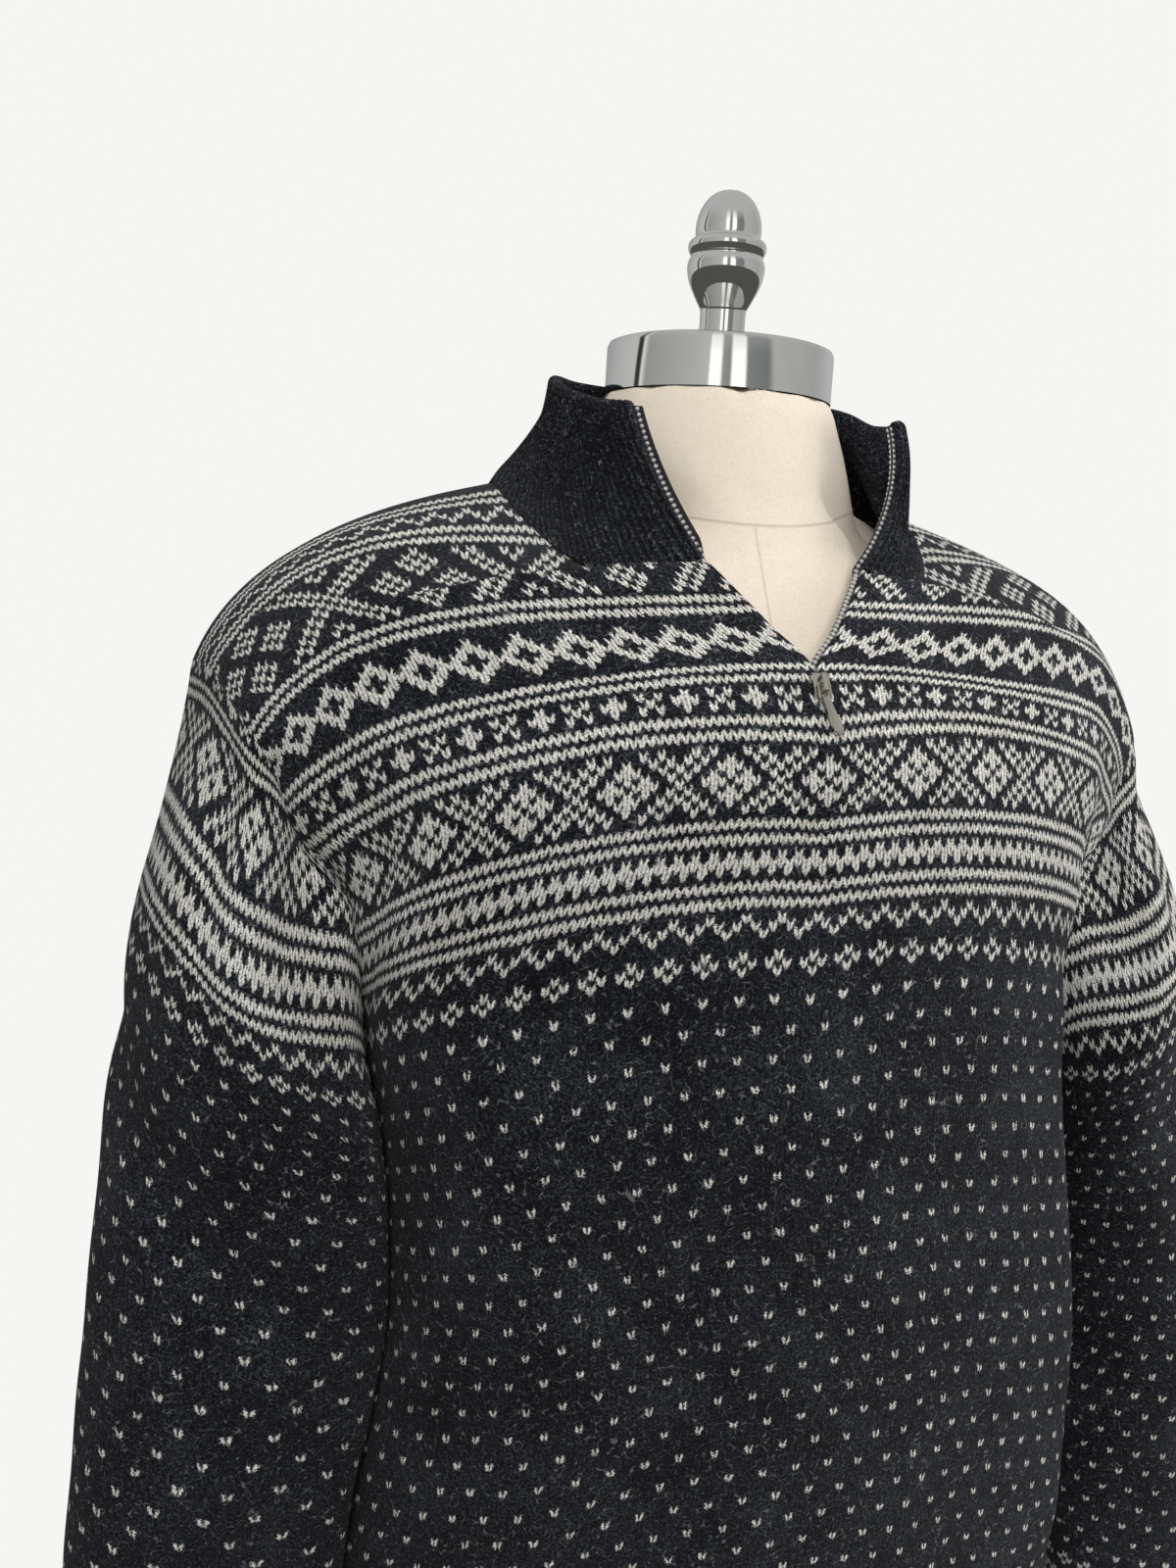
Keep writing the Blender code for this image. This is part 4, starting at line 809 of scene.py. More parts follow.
def linen_seams(tree, x, z):
    """1 on the linen's seams: one round the neck's foot, that sags in the middle, and one
    upright below it."""
    beside = node(tree, MATH, {0: x, 1: -SEAM_X}, operation="ADD")
    dip = node(tree, MATH, {0: beside, 1: beside}, operation="MULTIPLY")
    seam_z = node(tree, MATH, {0: dip, 1: SEAM_SAG, 2: SEAM_HEIGHT}, operation="MULTIPLY_ADD")
    from_seam = node(tree, MATH, {0: z, 1: seam_z}, operation="SUBTRACT")
    level_seam = node(tree, MATH, {0: from_seam}, operation="ABSOLUTE")
    seam = node(tree, RANGE, {"Value": level_seam, "From Max": 0.0011, "To Min": 1.0, "To Max": 0.0})
    below = node(tree, MATH, {0: from_seam, 1: 0.0}, operation="LESS_THAN")
    upright = node(tree, MATH, {0: beside}, operation="ABSOLUTE")
    upright = node(tree, RANGE, {"Value": upright, "From Max": 0.0009, "To Min": 0.8, "To Max": 0.0})
    upright = node(tree, MATH, {0: upright.outputs[0], 1: below}, operation="MULTIPLY")
    return node(tree, MATH, {0: seam.outputs[0], 1: upright}, operation="MAXIMUM")


def linen():
    """Unbleached linen canvas glued over the form: matt, a plain weave of slubby threads
    0.45 mm apart, drawn at 0.9 mm so that it shows, with stitched seams round the neck's
    foot and down its front. Threads are counted round the neck by angle and up by height."""
    material, tree, shader = surface("cream linen canvas", Roughness=0.9, Sheen_Weight=0.1)
    spot = node(tree, "ShaderNodeTexCoord").outputs["Object"]
    split = node(tree, "ShaderNodeSeparateXYZ", {0: spot})
    x, y, z = split.outputs
    y = node(tree, MATH, {0: y, 1: -NECK_AXIS_Y}, operation="ADD")
    away = node(tree, MATH, {0: y, 1: -1.0}, operation="MULTIPLY")
    turn = node(tree, MATH, {0: x, 1: away}, operation="ARCTAN2")
    thread = 2 * math.pi / LINEN_THREAD
    slub = node(tree, NOISE, {"Vector": spot, "Scale": 260.0, "Detail": 3.0})
    slub = node(tree, MATH, {0: slub, 1: 5.0}, operation="MULTIPLY")
    threads = []
    for counted, rate in ((turn, thread * LINEN_NECK), (z, thread)):
        wave = node(tree, MATH, {0: counted, 1: rate}, operation="MULTIPLY")
        wave = node(tree, MATH, {0: wave, 1: slub}, operation="ADD")
        threads.append(node(tree, MATH, {0: wave}, operation="SINE"))
    weave = node(tree, MATH, {0: threads[0], 1: threads[1]}, operation="MULTIPLY")
    fleck = node(tree, NOISE, {"Vector": spot, "Scale": 700.0, "Detail": 2.0})
    tone = node(tree, MATH, {0: weave, 1: 0.05, 2: fleck}, operation="MULTIPLY_ADD")
    cloth = node(tree, RAMP, {"Fac": tone})
    stops(cloth, ((0.2, "#e2d3bd"), (0.5, "#eadcc9"), (0.8, "#ede2d2")))

    seam = linen_seams(tree, x, z)
    shadow = node(tree, MATH, {0: seam, 1: 0.45}, operation="MULTIPLY")
    cloth = node(tree, MIX, {
        "Factor": shadow, 6: cloth.outputs["Color"], 7: linear("#8d7f66")}, data_type="RGBA")
    tree.links.new(cloth.outputs[2], shader.inputs["Base Color"])
    height = node(tree, MATH, {0: seam, 1: -2.0, 2: weave}, operation="MULTIPLY_ADD")
    bump = node(tree, "ShaderNodeBump", {"Height": height, "Strength": 0.35, "Distance": 0.0004})
    tree.links.new(bump.outputs[0], shader.inputs["Normal"])
    return material


def piece(name, points, faces, material, slot, uvs=None, body="root", sharp=50.0):
    """A piece from whole arrays: points in metres, faces as arrays of corners, and for each
    corner its place on the piece's own map. Points that no face uses are left out."""
    corners = np.concatenate([each.reshape(-1) for each in faces])
    used, corners = np.unique(corners, return_inverse=True)
    sizes = np.concatenate([np.full(len(each), each.shape[1]) for each in faces])
    mesh = bpy.data.meshes.new(name)
    mesh.vertices.add(len(used))
    mesh.vertices.foreach_set("co", np.asarray(points)[used].astype(np.float32).reshape(-1))
    mesh.loops.add(len(corners))
    mesh.loops.foreach_set("vertex_index", corners.reshape(-1).astype(np.int32))
    mesh.polygons.add(len(sizes))
    firsts = np.concatenate([[0], np.cumsum(sizes)[:-1]])
    mesh.polygons.foreach_set("loop_start", firsts.astype(np.int32))
    mesh.polygons.foreach_set("use_smooth", np.ones(len(sizes), bool))
    if uvs is not None:
        layer = mesh.uv_layers.new(name="stitches")
        flat = np.concatenate([each.reshape(-1, 2) for each in uvs]).astype(np.float32)
        layer.uv.foreach_set("vector", flat.reshape(-1))
    mesh.update(calc_edges=True)
    mesh.validate()
    mesh.set_sharp_from_angle(angle=math.radians(sharp))
    mesh.materials.append(material)
    made = bpy.data.objects.new(name, mesh)
    bpy.context.scene.collection.objects.link(made)
    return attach(made, body)


def shell(name, grid, normal, thickness, uv, material, slot,
          raised=0.0, sunk=0.0, index=None, parted=None):
    """Cloth as a closed shell: the grid moved out along its normals by half its thickness plus
    raised, and in by half its thickness plus sunk, with a rim along each open edge."""
    rows, cols = grid.shape[:2]
    count = rows * cols
    half = np.broadcast_to(np.asarray(thickness) / 2, (rows, cols))
    outer = (grid + normal * (half + raised)[..., None]).reshape(-1, 3)
    inner = (grid - normal * (half + sunk)[..., None]).reshape(-1, 3)
    if index is None:
        index = np.arange(count).reshape(rows, cols)
    own = np.arange(count).reshape(rows, cols)
    cells = np.stack([own[:-1, :-1], own[:-1, 1:], own[1:, 1:], own[1:, :-1]], -1)
    if parted is not None:
        cells = np.delete(cells, parted, axis=1)
    cells = cells.reshape(-1, 4)
    flat = grid.reshape(-1, 3)
    slope = np.cross(flat[cells[:, 1]] - flat[cells[:, 0]], flat[cells[:, 3]] - flat[cells[:, 0]])
    if (slope * normal.reshape(-1, 3)[cells[:, 0]]).sum() < 0:
        cells = cells[:, ::-1]
    merged = index.reshape(-1)
    starts, ends = cells.reshape(-1), np.roll(cells, -1, axis=1).reshape(-1)
    forward = merged[starts].astype(np.int64) * count + merged[ends]
    backward = merged[ends].astype(np.int64) * count + merged[starts]
    alone = ~np.isin(forward, backward)
    a, b = starts[alone], ends[alone]
    rim = np.stack([merged[b], merged[a], merged[a] + count, merged[b] + count], 1)
    place_of = uv.reshape(-1, 2)
    faces = [merged[cells], merged[cells[:, ::-1]] + count, rim]
    uvs = [place_of[cells], place_of[cells[:, ::-1]], place_of[np.stack([b, a, a, b], 1)]]
    return piece(name, place(np.concatenate([outer, inner])), faces, material, slot, uvs)


def stitch_map(u, level):
    """A panel's stitches and rows: across by the stitch's width, and up by the row's height
    once the rise of the bands towards the armholes is taken off, found by repeated guesses."""
    rise = np.where(u < 0, BAND_RISE[-1], BAND_RISE[1]) * np.clip(np.abs(u) / 20.0, 0.0, 1.0)
    measured = level
    for _ in range(12):
        fade = np.clip((TOP - measured) / 8.0, 0.0, 1.0)
        fade = fade * np.clip((measured + 25.0) / 25.0, 0.0, 1.0)
        measured = level - rise * fade
    return np.stack([u / STITCH + 0.5, measured / ROW], -1)


def valley(distance):
    """How deep the cloth lies beside a seam: a bell over the distance from it."""
    return SEAM_DIP * np.exp(-((distance / SEAM_WIDTH) ** 2))


def uneven(u, level, size):
    """The slight waviness of hanging knit: a few crossed sine waves, none with a whole ratio."""
    wave = np.sin(u * 0.61 + level * 0.17 + 1.0) + np.sin(u * 0.33 - level * 0.29 + 2.2)
    wave += 0.6 * np.sin(u * 1.13 + level * 0.41 + 0.4) + 0.6 * np.sin(level * 0.83 - u * 0.47 + 4.0)
    return size * wave


def sleeve_grids(across, down):
    """Both sleeves with their soft folds, as grids with their normals."""
    sleeves = {}
    for side in (-1, 1):
        grid = sleeve(across, down, side)
        normal = side * facing(grid, wrap=True)
        fade = ease(down / 3.0) * ease((SLEEVE_LENGTH - down) / 4.0)
        fade = fade * ease((ARMHOLE - np.abs(across)) / 3.0)
        height = folded(SLEEVE_FOLDS, across, down) + uneven(across, down, 0.05)
        grid = grid + normal * (height * fade)[..., None]
        sleeves[side] = [grid, side * facing(grid, wrap=True)]
    return sleeves


def make_garment(wool, sleeve_wool, rib, tape):
    """All the cloth: worked out first, leant together at the seams, then given its walls."""
    front, back = body_grids(-1, FRONT_FOLDS), body_grids(1, BACK_FOLDS)
    fall = np.linspace(0.0, 1.0, SLEEVE_ROWS + 1) ** 1.15 * SLEEVE_LENGTH
    across, down = np.meshgrid(np.linspace(-ARMHOLE, ARMHOLE, 2 * ARM_ROWS + 1), fall)
    sleeves = sleeve_grids(across, down)
    columns = COLLAR_RIBS * COLUMNS_A_RIB
    climb = np.sin(np.linspace(0.0, math.pi / 2, COLLAR_ROWS + 1)) ** 0.9
    q, rise = np.meshgrid(np.linspace(-1.0, 1.0, columns + 1), climb)
    neck = collar(q, rise)
    neck_normal = -facing(neck)

    lean_together(front + back + [sleeves[-1], sleeves[1], [neck, neck_normal]])
    knots = np.arange(0, columns + 1, columns // (4 * NECK_CELLS))
    for k in range(3):
        neck_normal[0, :, k] = np.interp(np.arange(columns + 1), knots, neck_normal[0, knots, k])
    sink_seams(front, -1)
    sink_seams(back, 1)
    for grid, normal in sleeves.values():
        dip = np.maximum(valley(down), valley(SLEEVE_LENGTH - down))
        grid -= normal * np.maximum(dip, valley(ARMHOLE - np.abs(across)))[..., None]
    neck -= neck_normal * valley(rise * COLLAR_HEIGHT)[..., None]

    make_front(front, wool)
    make_back(back, wool)
    make_hem(front, back, rib)
    make_sleeves(sleeves, across, down, sleeve_wool, rib)
    make_collar(neck, neck_normal, rise, rib)
    for half, side, name in ((front[0], -1, "right"), (front[1], 1, "left")):
        make_zip_side(name, side, half, [neck, neck_normal], tape)


def make_sleeves(sleeves, across, down, wool, rib):
    """The sleeves, each with its cuff. The bands come sooner on the side by the body than on
    the outer side."""
    half = through(SLEEVE_WIDTHS, down)[..., 0]
    sooner = SLEEVE_ROWS_SOONER * ease((np.abs(across) - 8.0) / 16.0)
    rows = SLEEVE_FIRST_ROW - (down + sooner) / ROW
    uv = np.stack([across / ARMHOLE * half / STITCH + 0.5, rows], -1)
    for side, name in ((-1, "right"), (1, "left")):
        grid, normal = sleeves[side]
        index = tube_index(*grid.shape[:2])
        sewn = shell("sleeve_cloth_" + name, grid, normal, KNIT, uv, wool, "knit", index=index)
        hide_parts("sleeve_" + name)
        make_cuff(name, grid[-1], normal[-1], side, rib)


def make_collar(neck, normal, rise, rib):
    """The collar: ribs that begin a little above the neck seam, an edge that is turned in
    and thicker there, and rounded at its top."""
    columns = neck.shape[1]
    wave = np.cos(2 * math.pi * np.arange(columns) / COLUMNS_A_RIB) * RIB_WAVE
    wave = wave * ease(rise * COLLAR_HEIGHT)
    inset = np.clip((1 - rise) * COLLAR_HEIGHT / COLLAR_EDGE, 0.04, 1.0)
    round_top = np.sqrt(inset * (2 - inset))
    thick = (COLLAR_KNIT + COLLAR_TURN * ease((rise - 0.55) / 0.3)) * round_top
    around = np.arange(columns) / COLUMNS_A_RIB * 2 + np.zeros(rise.shape)
    uv = np.stack([around, rise * COLLAR_HEIGHT / RIB_ROW], -1)
    band = shell("collar_rib", neck, normal, thick, uv, rib, "rib",
                 raised=RIB_WAVE - wave, sunk=wave)
    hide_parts("collar")


def sink_seams(halves, face):
    """Lowers both halves of a panel along their seams: sides, armholes, shoulders, neck, hem."""
    u, level = panel_layout(face)
    above = level[-1] - level
    dip = np.maximum(valley(HALF_WIDTH - u), np.maximum(valley(above), valley(level - HEM_LEVEL)))
    for side, (grid, normal) in zip((-1, 1), halves):
        grid -= normal * dip[:, ::side][..., None]


def make_front(halves, wool):
    """The front: its halves are one below the zip and parted above it."""
    u, level = panel_layout(-1)
    grid = np.concatenate([half[0] for half in halves], axis=1)
    normal = np.concatenate([half[1] for half in halves], axis=1)
    maps = [stitch_map(side * u[:, ::side], level[:, ::side]) for side in (-1, 1)]
    uv = np.concatenate(maps, axis=1)
    index = np.arange(grid.shape[0] * grid.shape[1]).reshape(grid.shape[:2])
    cols = u.shape[1]
    joined = slice(0, LOW_ROWS + SLIT_ROW + 1)
    index[joined, cols] = index[joined, cols - 1]
    made = shell("front_cloth", grid, normal, KNIT, uv, wool, "knit", index=index, parted=cols - 1)
    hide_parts("front_panel")


def make_back(halves, wool):
    """The back: one whole panel."""
    u, level = panel_layout(1)
    grid = np.concatenate([halves[0][0], halves[1][0][:, 1:]], axis=1)
    normal = np.concatenate([halves[0][1], halves[1][1][:, 1:]], axis=1)
    maps = [stitch_map(side * u[:, ::side], level[:, ::side]) for side in (-1, 1)]
    uv = np.concatenate([maps[0], maps[1][:, 1:]], axis=1)
    made = shell("back_cloth", grid, normal, KNIT, uv, wool, "knit")
    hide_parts("back_panel")


def ribbed_tube(name, ring, lean, falls, shape, ribs, sign, material, node_name):
    """A ribbed tube that hangs from a ring of points: shape gives its row at each fall, and
    the ribs are a cosine wave round it, inside and out."""
    steps = np.linspace(0.0, len(ring) - 1.0, ribs * COLUMNS_A_RIB + 1)
    knots = np.arange(len(ring))
    ring = np.stack([np.interp(steps, knots, ring[:, k]) for k in range(3)], -1)
    lean = np.stack([np.interp(steps, knots, lean[:, k]) for k in range(3)], -1)
    grid = np.stack([shape(ring, fall) for fall in falls])
    grid[:, -1] = grid[:, 0]
    normal = sign * facing(grid, wrap=True)
    normal[0] = lean
    normal[:, -1] = normal[:, 0]
    fall = np.array(falls)[:, None]
    length = grid[0, :, 2].mean() - grid[-1, :, 2].mean()
    wave = np.cos(2 * math.pi * np.arange(len(steps)) / COLUMNS_A_RIB) * RIB_WAVE
    wave = wave * ease(fall * 12.0)
    grid = grid - normal * valley(fall * length)[..., None]
    thick = KNIT * (1 - 0.7 * np.exp(-(((1 - fall) * length / EDGE_ROUND) ** 2)))
    thick = np.broadcast_to(thick, grid.shape[:2])
    around = np.arange(len(steps)) / COLUMNS_A_RIB * 2
    uv = np.stack(np.broadcast_arrays(around, -fall * length / RIB_ROW), -1)
    made = shell(name, grid, normal, thick, uv, material, "rib",
                 raised=RIB_WAVE - wave, sunk=wave, index=tube_index(*grid.shape[:2]))
    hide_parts(node_name)


def make_hem(front, back, rib):
    """The hem: a ribbed tube that hangs from both panels and draws in a little."""
    line = [np.concatenate([half[0][k][0], half[1][k][0, 1:]])
            for half in (front, back) for k in (0, 1)]
    ring = np.concatenate([line[0], line[2][::-1][1:]])
    lean = np.concatenate([line[1], line[3][::-1][1:]])
    middle = (ring.max(axis=0) + ring.min(axis=0)) / 2

    def shape(points, fall):
        row = middle + (points - middle) * (1 - 0.05 * ease(fall / 0.2))
        row[:, 2] = points[:, 2] - HEM_RIB * fall
        return row

    falls = np.sin(np.linspace(0.0, math.pi / 2, 19))
    ribbed_tube("hem_band", ring, lean, falls, shape, HEM_RIBS, -1, rib, "hem_rib")


def make_cuff(name, ring, lean, side, rib):
    """A cuff: the sleeve's last ring drawn in at once, then straight down."""
    middle = ring.mean(axis=0)
    tilt = np.array([1.0, 1.0, 0.6])

    def shape(points, fall):
        narrow = 1.0 - 0.2 * ease(fall / 0.25)
        row = middle + (points - middle) * (1 + (narrow * tilt - 1) * ease(fall * 4))
        row[..., 2] -= CUFF_RIB * fall
        return row

    falls = np.sin(np.linspace(0.0, math.pi / 2, 25))
    ribbed_tube("cuff_band_" + name, ring, lean, falls, shape, CUFF_RIBS, side, rib,
                "cuff_" + name)


def open_edge(side, half, neck):
    """The cloth's open edge from the slider up the collar, evenly divided: its length so
    far, its point, the way into the cloth and how far that is known, the wall's lean at the
    edge and further in, the cloth's thickness, and where the collar begins."""
    grid, normal = half
    front, column, apart = slice(LOW_ROWS + SLIT_ROW + 1, -1), 0 if side > 0 else -1, 6
    end = -1 if side > 0 else 0
    further = end - side * (3 * COLUMNS_A_RIB - 3)
    at = [grid[front, column], neck[0][:, end]]
    beside = [grid[front, column + side * apart], neck[0][:, further]]
    lean = [normal[front, column], neck[1][:, end]]
    lean_beside = [normal[front, column + side * apart], neck[1][:, further]]
    at, beside, lean, lean_beside = [np.concatenate(each) for each in (at, beside, lean, lean_beside)]
    count = len(neck[0])
    length = np.concatenate([[0.0], np.cumsum(np.linalg.norm(np.diff(at, axis=0), axis=-1))])
    base = length[-count]
    steps = np.linspace(0.0, length[-1] - 0.15, TAPE_STEPS)
    cloth = np.full(len(at), KNIT)
    cloth[-count:] = COLLAR_KNIT
    at, beside, lean, lean_beside = [
        np.stack([np.interp(steps, length, each[:, k]) for k in range(3)], -1)
        for each in (at, beside, lean, lean_beside)]
    cloth = np.interp(steps, length, cloth)
    lean /= np.linalg.norm(lean, axis=-1, keepdims=True)
    into = beside - at
    wide = np.linalg.norm(into, axis=-1, keepdims=True)
    return steps, at, into / wide, wide, lean, lean_beside, cloth, base


def make_zip_side(name, side, half, neck, tape):
    """Half of the open zip: the tape, made from the cloth's own points as a strip behind the
    open edge, and the teeth along it."""
    steps, at, into, wide, lean, lean_beside, cloth, base = open_edge(side, half, neck)
    if side < 0:
        shows = 0.12 * ease(steps / 1.6) + (TAPE_FACING - 0.12) * ease((steps - base + 0.4) / 1.5)
    else:
        shows = TAPE_SHOWS * ease(steps / 1.6)
    behind = cloth / 2 + TAPE_BEHIND + TAPE / 2
    share = np.linspace(0.0, 1.0, 7)
    reach = -(shows[:, None] - SLIT_GAP) * (1 - share) + TAPE_HIDDEN * share
    rows = at[:, None] + into[:, None] * reach[..., None]
    turn = np.clip(reach / wide, 0.0, 1.0)[..., None]
    leans = lean[:, None] + (lean_beside - lean)[:, None] * turn
    leans /= np.linalg.norm(leans, axis=-1, keepdims=True)
    rows = rows - leans * behind[:, None, None]
    uv = np.stack(np.broadcast_arrays(reach / 0.12, steps[:, None] / 0.12), -1)
    strip = shell("zip_tape_cloth_" + name, rows, leans, TAPE, uv, tape, "tape")
    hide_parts("zip_tape_" + name)

    spots = np.arange(0.5, steps[-1] - 0.1, TOOTH_PITCH)
    line = [np.stack([np.interp(spots, steps, each[:, k]) for k in range(3)], -1)
            for each in (at, into, lean)]
    shown = np.interp(spots, steps, shows)
    centre = line[0] - line[1] * (np.minimum(shown, TAPE_SHOWS) * TOOTH_PLACE - SLIT_GAP)[:, None]
    centre -= line[2] * (np.interp(spots, steps, cloth) / 2 + TAPE_BEHIND + TAPE / 2)[:, None]
    axis = np.gradient(centre, axis=0)
    axis /= np.linalg.norm(axis, axis=-1, keepdims=True)
    across = np.cross(line[2], axis)
    across /= np.linalg.norm(across, axis=-1, keepdims=True)
    frames = np.stack([across, axis, np.cross(across, axis)], 1)
    teeth = beads("zip_teeth_" + name, centre, frames, TOOTH_SIZE, NICKEL_TEETH)


def beads(name, centres, frames, size, metal):
    """Rounded teeth in one mesh: each a superellipsoid, from cosines and sines raised to a
    power under one, turned to its own frame."""
    tall, about = 5, 10
    lift = np.linspace(-math.pi / 2, math.pi / 2, tall + 2)[1:-1]
    turn = np.linspace(0.0, 2 * math.pi, about + 1)[:-1]
    c, s, round_c, round_s = (
        np.sign(value) * np.abs(value) ** 0.7
        for value in (np.cos(lift)[:, None], np.sin(lift)[:, None], np.cos(turn), np.sin(turn)))
    ring = np.stack([c * round_c, c * round_s, np.broadcast_to(s, (tall, about))], -1)
    ring = ring.reshape(-1, 3)
    bead = np.concatenate([ring, [[0, 0, -1.0], [0, 0, 1.0]]]) * np.array(size)
    points = centres[:, None] + np.einsum("pk,nkj->npj", bead, frames)
    own = np.arange(tall * about).reshape(tall, about)
    beyond = np.roll(own, -1, axis=1)
    quads = np.stack([own[:-1], beyond[:-1], beyond[1:], own[1:]], -1).reshape(-1, 4)
    foot, top = tall * about, tall * about + 1
    fans = np.concatenate([np.stack([beyond[0], own[0], np.full(about, foot)], -1),
                           np.stack([own[-1], beyond[-1], np.full(about, top)], -1)])
    shift = (np.arange(len(centres)) * len(bead))[:, None, None]
    faces = [(quads + shift).reshape(-1, 4), (fans + shift).reshape(-1, 3)]
    return piece(name, place(points.reshape(-1, 3)), faces, metal, "nickel", sharp=80.0)


def tube(name, path, radius, sides, metal, body):
    """A round wire along a closed path: at each point a ring square to the path's direction."""
    along = np.roll(path, -1, axis=0) - np.roll(path, 1, axis=0)
    along /= np.linalg.norm(along, axis=-1, keepdims=True)
    flat = np.cross(path[1] - path[0], path[len(path) // 3] - path[0])
    flat /= np.linalg.norm(flat)
    out = np.cross(along, flat)
    turn = np.linspace(0.0, 2 * math.pi, sides + 1)[:-1]
    spokes = out[:, None] * np.cos(turn)[:, None] + flat * np.sin(turn)[:, None]
    rings = (path[:, None] + radius * spokes).reshape(-1, 3)
    own = np.arange(len(path) * sides).reshape(len(path), sides)
    ahead = np.roll(own, -1, axis=0)
    quads = np.stack([own, np.roll(own, -1, axis=1), np.roll(ahead, -1, axis=1), ahead], -1)
    faces = [outward(rings, quads.reshape(-1, 4))]
    return piece(name, place(rings), faces, metal, "nickel", body=body)


def outward(points, quads):
    """The faces turned so that the closed shape they make holds a positive volume."""
    a, b, c, d = (points[quads[:, k]] for k in range(4))
    volume = (np.cross(b - a, c - a) * a).sum() + (np.cross(c - a, d - a) * a).sum()
    return quads if volume > 0 else quads[:, ::-1]


def from_solid(name, node_name, material, body, merge):
    """A piece from a copy of its solid: its points merged, and its flat triangles joined by
    merge, which is given the shape."""
    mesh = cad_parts[node_name].data.copy()
    mesh.name = name
    shape = bmesh.new()
    shape.from_mesh(mesh)
    bmesh.ops.remove_doubles(shape, verts=shape.verts, dist=0.00001)
    merge(shape)
    shape.to_mesh(mesh)
    shape.free()
    mesh.materials.clear()
    mesh.materials.append(material)
    mesh.shade_smooth()
    made = bpy.data.objects.new(name, mesh)
    bpy.context.scene.collection.objects.link(made)
    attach(made, body)
    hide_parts(node_name)
    return made


def refined(name, node_name, metal, bevel, body="root", sharp=40.0):
    """A metal piece from its solid, with every edge rounded by a small bevel."""
    def merge(shape):
        bmesh.ops.dissolve_limit(
            shape, angle_limit=math.radians(1.0), verts=shape.verts, edges=shape.edges)

    made = from_solid(name, node_name, metal, body, merge)
    edge = made.modifiers.new("edges", "BEVEL")
    edge.width = bevel
    edge.segments = 3
    edge.limit_method = "ANGLE"
    edge.angle_limit = math.radians(sharp)
    edge.harden_normals = True


def corners_cut(profile, times):
    """A profile with its corners cut, at a quarter and three quarters of each stretch, over
    and over, which rounds them; its two ends stay."""
    line = np.array(profile, float)
    for _ in range(times):
        near, far = line[:-1] * 0.75 + line[1:] * 0.25, line[:-1] * 0.25 + line[1:] * 0.75
        line = np.concatenate([line[:1], np.stack([near, far], 1).reshape(-1, 2)[1:-1], line[-1:]])
    return line


def lathe(name, profile, axis_y, base, sides, metal, slot, node_name, rounding=0):
    """A turned piece: its profile of radius and height carried once round its axis, with one
    point at each pole."""
    line = corners_cut(profile, rounding)
    inner = line[1:-1]
    turn = np.linspace(0.0, 2 * math.pi, sides + 1)[:-1]
    rings = np.stack([inner[:, :1] * np.cos(turn), inner[:, :1] * np.sin(turn) + axis_y,
                      np.broadcast_to(inner[:, 1:], (len(inner), sides)) + base], -1)
    poles = np.array([[0.0, axis_y, line[0, 1] + base], [0.0, axis_y, line[-1, 1] + base]])
    own = np.arange(len(inner) * sides).reshape(len(inner), sides)
    beyond = np.roll(own, -1, axis=1)
    quads = np.stack([own[:-1], own[1:], beyond[1:], beyond[:-1]], -1).reshape(-1, 4)
    top, foot = own.size, own.size + 1
    fans = np.concatenate([np.stack([np.full(sides, top), own[0], beyond[0]], -1),
                           np.stack([np.full(sides, foot), beyond[-1], own[-1]], -1)])
    points = np.concatenate([rings.reshape(-1, 3), poles])
    made = piece(name, place(points), [quads, fans], metal, slot, sharp=35.0)
    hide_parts(node_name)


def make_slider(metal):
    """The slider and its hanging pull, from their solids with rounded edges, and the wire
    loop between them as a round wire through the same corners."""
    level = np.array([[SLIDER_LEVEL - 0.45, SLIDER_LEVEL - 2.9]])
    seat, low = panel(np.full((1, 2), 1e-4), level, -1)[0]
    out = hanging_axes(seat, low)[2]
    top = KNIT * 0.5 + SLIDER_LIFT + PLATE_THICKNESS * 0.1
    pivot = seat + out * (top + PIVOT_RISE * 0.1)
    resting = low + out * (KNIT * 0.5 + PULL_DEPTH * 0.05 + PULL_REST)
    axes = hanging_axes(pivot, resting)
    half, drop, corner = LOOP_HALF_WIDTH * 0.1, LOOP_DROP * 0.1, LOOP_CORNER * 0.1
    path = []
    for x, y, first in ((half, 0, 90), (half, -drop, 0), (-half, -drop, -90), (-half, 0, -180)):
        turn = np.radians(np.linspace(first, first - 90, 7))
        path.append(np.stack([x + corner * (np.cos(turn) - np.sign(x)),
                              y + corner * (np.sin(turn) + (1 if y else -1)), 0.0 * turn], -1))
    path = pivot + np.concatenate(path) @ axes
    loop = tube("pull_wire_loop", path, LOOP_WIRE * 0.1, 12, metal, "pull")
    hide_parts("zip_pull_loop")
    refined("zip_slider_body", "zip_slider", metal, 0.0003)
    refined("pull_tab", "zip_pull_tab", metal, 0.00018, body="pull", sharp=25.0)


def make_form(cloth):
    """The dress form: its solid's merged surface, smoothed by subdivision."""
    def merge(shape):
        bmesh.ops.join_triangles(
            shape, faces=shape.faces, angle_face_threshold=0.8, angle_shape_threshold=0.8)

    made = from_solid("linen_form", "form_torso", cloth, "root", merge)
    smooth = made.modifiers.new("smooth", "SUBSURF")
    smooth.levels = smooth.render_levels = 2


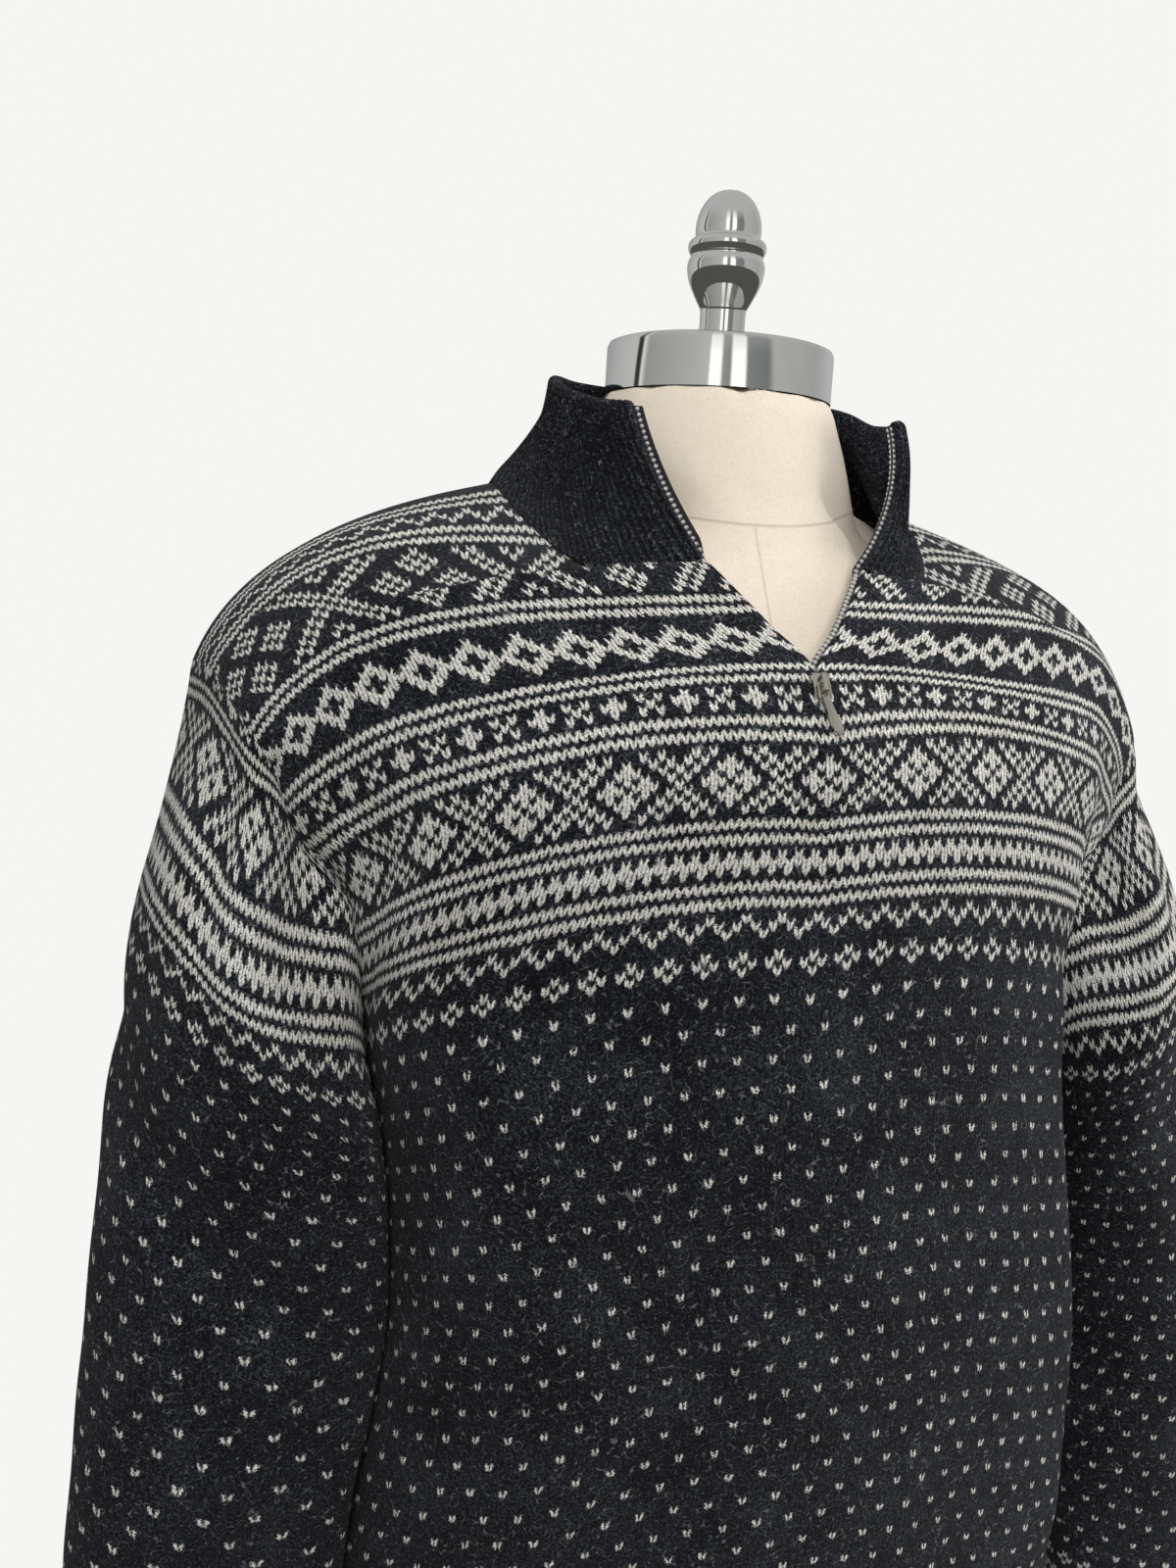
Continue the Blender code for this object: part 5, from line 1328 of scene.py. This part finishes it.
def make_floor(pale):
    """A pale floor that turns into the plain backdrop away from the stand."""
    material, tree, shader = surface("pale floor", Roughness=0.9)
    shader.inputs["Base Color"].default_value = pale
    spot = node(tree, "ShaderNodeTexCoord").outputs["Object"]
    far = node(tree, VECTOR, {0: spot}, operation="LENGTH")
    fade = node(tree, RANGE, {
        "Value": far.outputs["Value"], "From Min": 0.3, "From Max": 0.85},
        interpolation_type="SMOOTHSTEP")
    eye = node(tree, "ShaderNodeLightPath").outputs["Is Camera Ray"]
    bright = node(tree, RANGE, {"Value": eye, "To Min": 0.1, "To Max": 1.0})
    glow = node(tree, "ShaderNodeEmission", {"Color": pale, "Strength": bright.outputs[0]})
    mixed = node(tree, "ShaderNodeMixShader", {0: fade.outputs[0], 1: shader.outputs[0], 2: glow})
    tree.links.new(mixed.outputs[0], tree.nodes["Material Output"].inputs["Surface"])
    turn = np.linspace(0.0, 2 * math.pi, 97)[:-1]
    rim = np.stack([FLOOR_RADIUS * np.cos(turn), FLOOR_RADIUS * np.sin(turn), 0.0 * turn], -1)
    mesh = bpy.data.meshes.new("floor")
    mesh.from_pydata(rim.tolist(), [], [list(range(96))])
    mesh.materials.append(material)
    floor = bpy.data.objects.new("floor", mesh)
    bpy.context.scene.collection.objects.link(floor)


def make_room(pale):
    """The plain backdrop that the camera sees, the even light that cloth gets, and the room
    of walls and windows that the metal mirrors."""
    world = bpy.data.worlds.new("studio")
    bpy.context.scene.world = world
    world.use_nodes = True
    tree = world.node_tree
    tree.nodes.clear()
    towards = node(tree, "ShaderNodeTexCoord").outputs["Generated"]
    split = node(tree, "ShaderNodeSeparateXYZ", {0: towards})
    facing_us = node(tree, MATH, {0: split.outputs[1], 1: -1.0}, operation="MULTIPLY")
    turn = node(tree, MATH, {0: split.outputs[0], 1: facing_us}, operation="ARCTAN2")
    turn = node(tree, RANGE, {"Value": turn, "From Min": -math.pi, "From Max": math.pi})
    room = node(tree, RAMP, {"Fac": turn.outputs[0]})
    stops(room, ROOM)
    sky = node(tree, RANGE, {"Value": split.outputs[2], "From Min": 0.4, "From Max": 0.75})
    room = node(tree, MIX, {
        "Factor": sky.outputs[0], 6: room.outputs["Color"], 7: linear("#a9abac")}, data_type="RGBA")
    mirrored = node(tree, "ShaderNodeBackground", {"Color": room.outputs[2], "Strength": 1.3})
    soft = node(tree, "ShaderNodeBackground", {"Color": linear("#eceef2"), "Strength": ROOM_LIGHT})
    matt = node(tree, "ShaderNodeLightPath").outputs["Is Diffuse Ray"]
    lit = node(tree, "ShaderNodeMixShader", {0: matt, 1: mirrored, 2: soft})
    seen = node(tree, "ShaderNodeBackground", {"Color": pale, "Strength": 1.0})
    eye = node(tree, "ShaderNodeLightPath").outputs["Is Camera Ray"]
    both = node(tree, "ShaderNodeMixShader", {0: eye, 1: lit, 2: seen})
    node(tree, "ShaderNodeOutputWorld", {"Surface": both})


def make_lights():
    """Soft rectangular lights, each turned to what it faces."""
    for name, spot, aim, size, power in LIGHTS:
        data = bpy.data.lights.new(name, "AREA")
        data.shape = "RECTANGLE"
        data.size, data.size_y = size
        data.energy = power
        lamp = bpy.data.objects.new(name, data)
        lamp.location = spot
        lamp.visible_glossy = False
        lamp.rotation_euler = (Vector(aim) - Vector(spot)).to_track_quat("-Z", "Y").to_euler()
        bpy.context.scene.collection.objects.link(lamp)


def make_camera():
    """The camera, and the plain view transform."""
    data = bpy.data.cameras.new("camera")
    data.lens = LENS
    data.sensor_width = 36.0
    camera = bpy.data.objects.new("camera", data)
    camera.matrix_world = Matrix((
        *((CAMERA_RIGHT[k], CAMERA_UP[k], -CAMERA_FORWARD[k], CAMERA_SPOT[k]) for k in range(3)),
        (0.0, 0.0, 0.0, 1.0)))
    bpy.context.scene.collection.objects.link(camera)
    bpy.context.scene.camera = camera
    bpy.context.scene.view_settings.view_transform = "Standard"


WOOL = knitting("charcoal lambswool with cream pattern", patterned=True)
SLEEVE_WOOL = knitting("charcoal lambswool with cream pattern, sleeves", patterned=True, mirrored=True)
RIBBING = knitting("charcoal lambswool rib", patterned=False)
TAPED = woven_tape()
NICKEL = worn_metal("nickel plate", "#d6cfc2", "#c2baad", 0.17, 300.0)
NICKEL_TEETH = worn_metal("nickel zip teeth", "#fbfaf7", "#eceae4", 0.25, 300.0)
CHROME = worn_metal("polished chrome", "#eae9e4", "#dddcd7", 0.025, 60.0)
STAND_STEEL = worn_metal("satin stand steel", "#c4c6c8", "#a5a8ab", 0.28, 120.0)
LINEN = linen()
PALE = linear("#f6f5f3")

make_garment(WOOL, SLEEVE_WOOL, RIBBING, TAPED)
make_slider(NICKEL)
make_form(LINEN)
for values in (
    ("neck_cap_chrome", CAP_PROFILE, 0.0, 0.0, 128, CHROME, "chrome", "neck_cap"),
    ("finial_chrome", FINIAL_PROFILE, 0.0, 0.0, 96, CHROME, "chrome", "finial", 2),
    ("form_plate_steel", FORM_PLATE_PROFILE, POLE_Y, -RIM_ABOVE_FLOOR, 96, STAND_STEEL,
     "stand_metal", "form_plate"),
    ("pole_chrome", POLE_PROFILE, POLE_Y, -RIM_ABOVE_FLOOR, 64, CHROME, "chrome", "pole"),
    ("base_steel", BASE_PROFILE, POLE_Y, -RIM_ABOVE_FLOOR, 128, STAND_STEEL,
     "stand_metal", "base"),
):
    lathe(*values)
make_floor(PALE)
make_room(PALE)
make_lights()
make_camera()
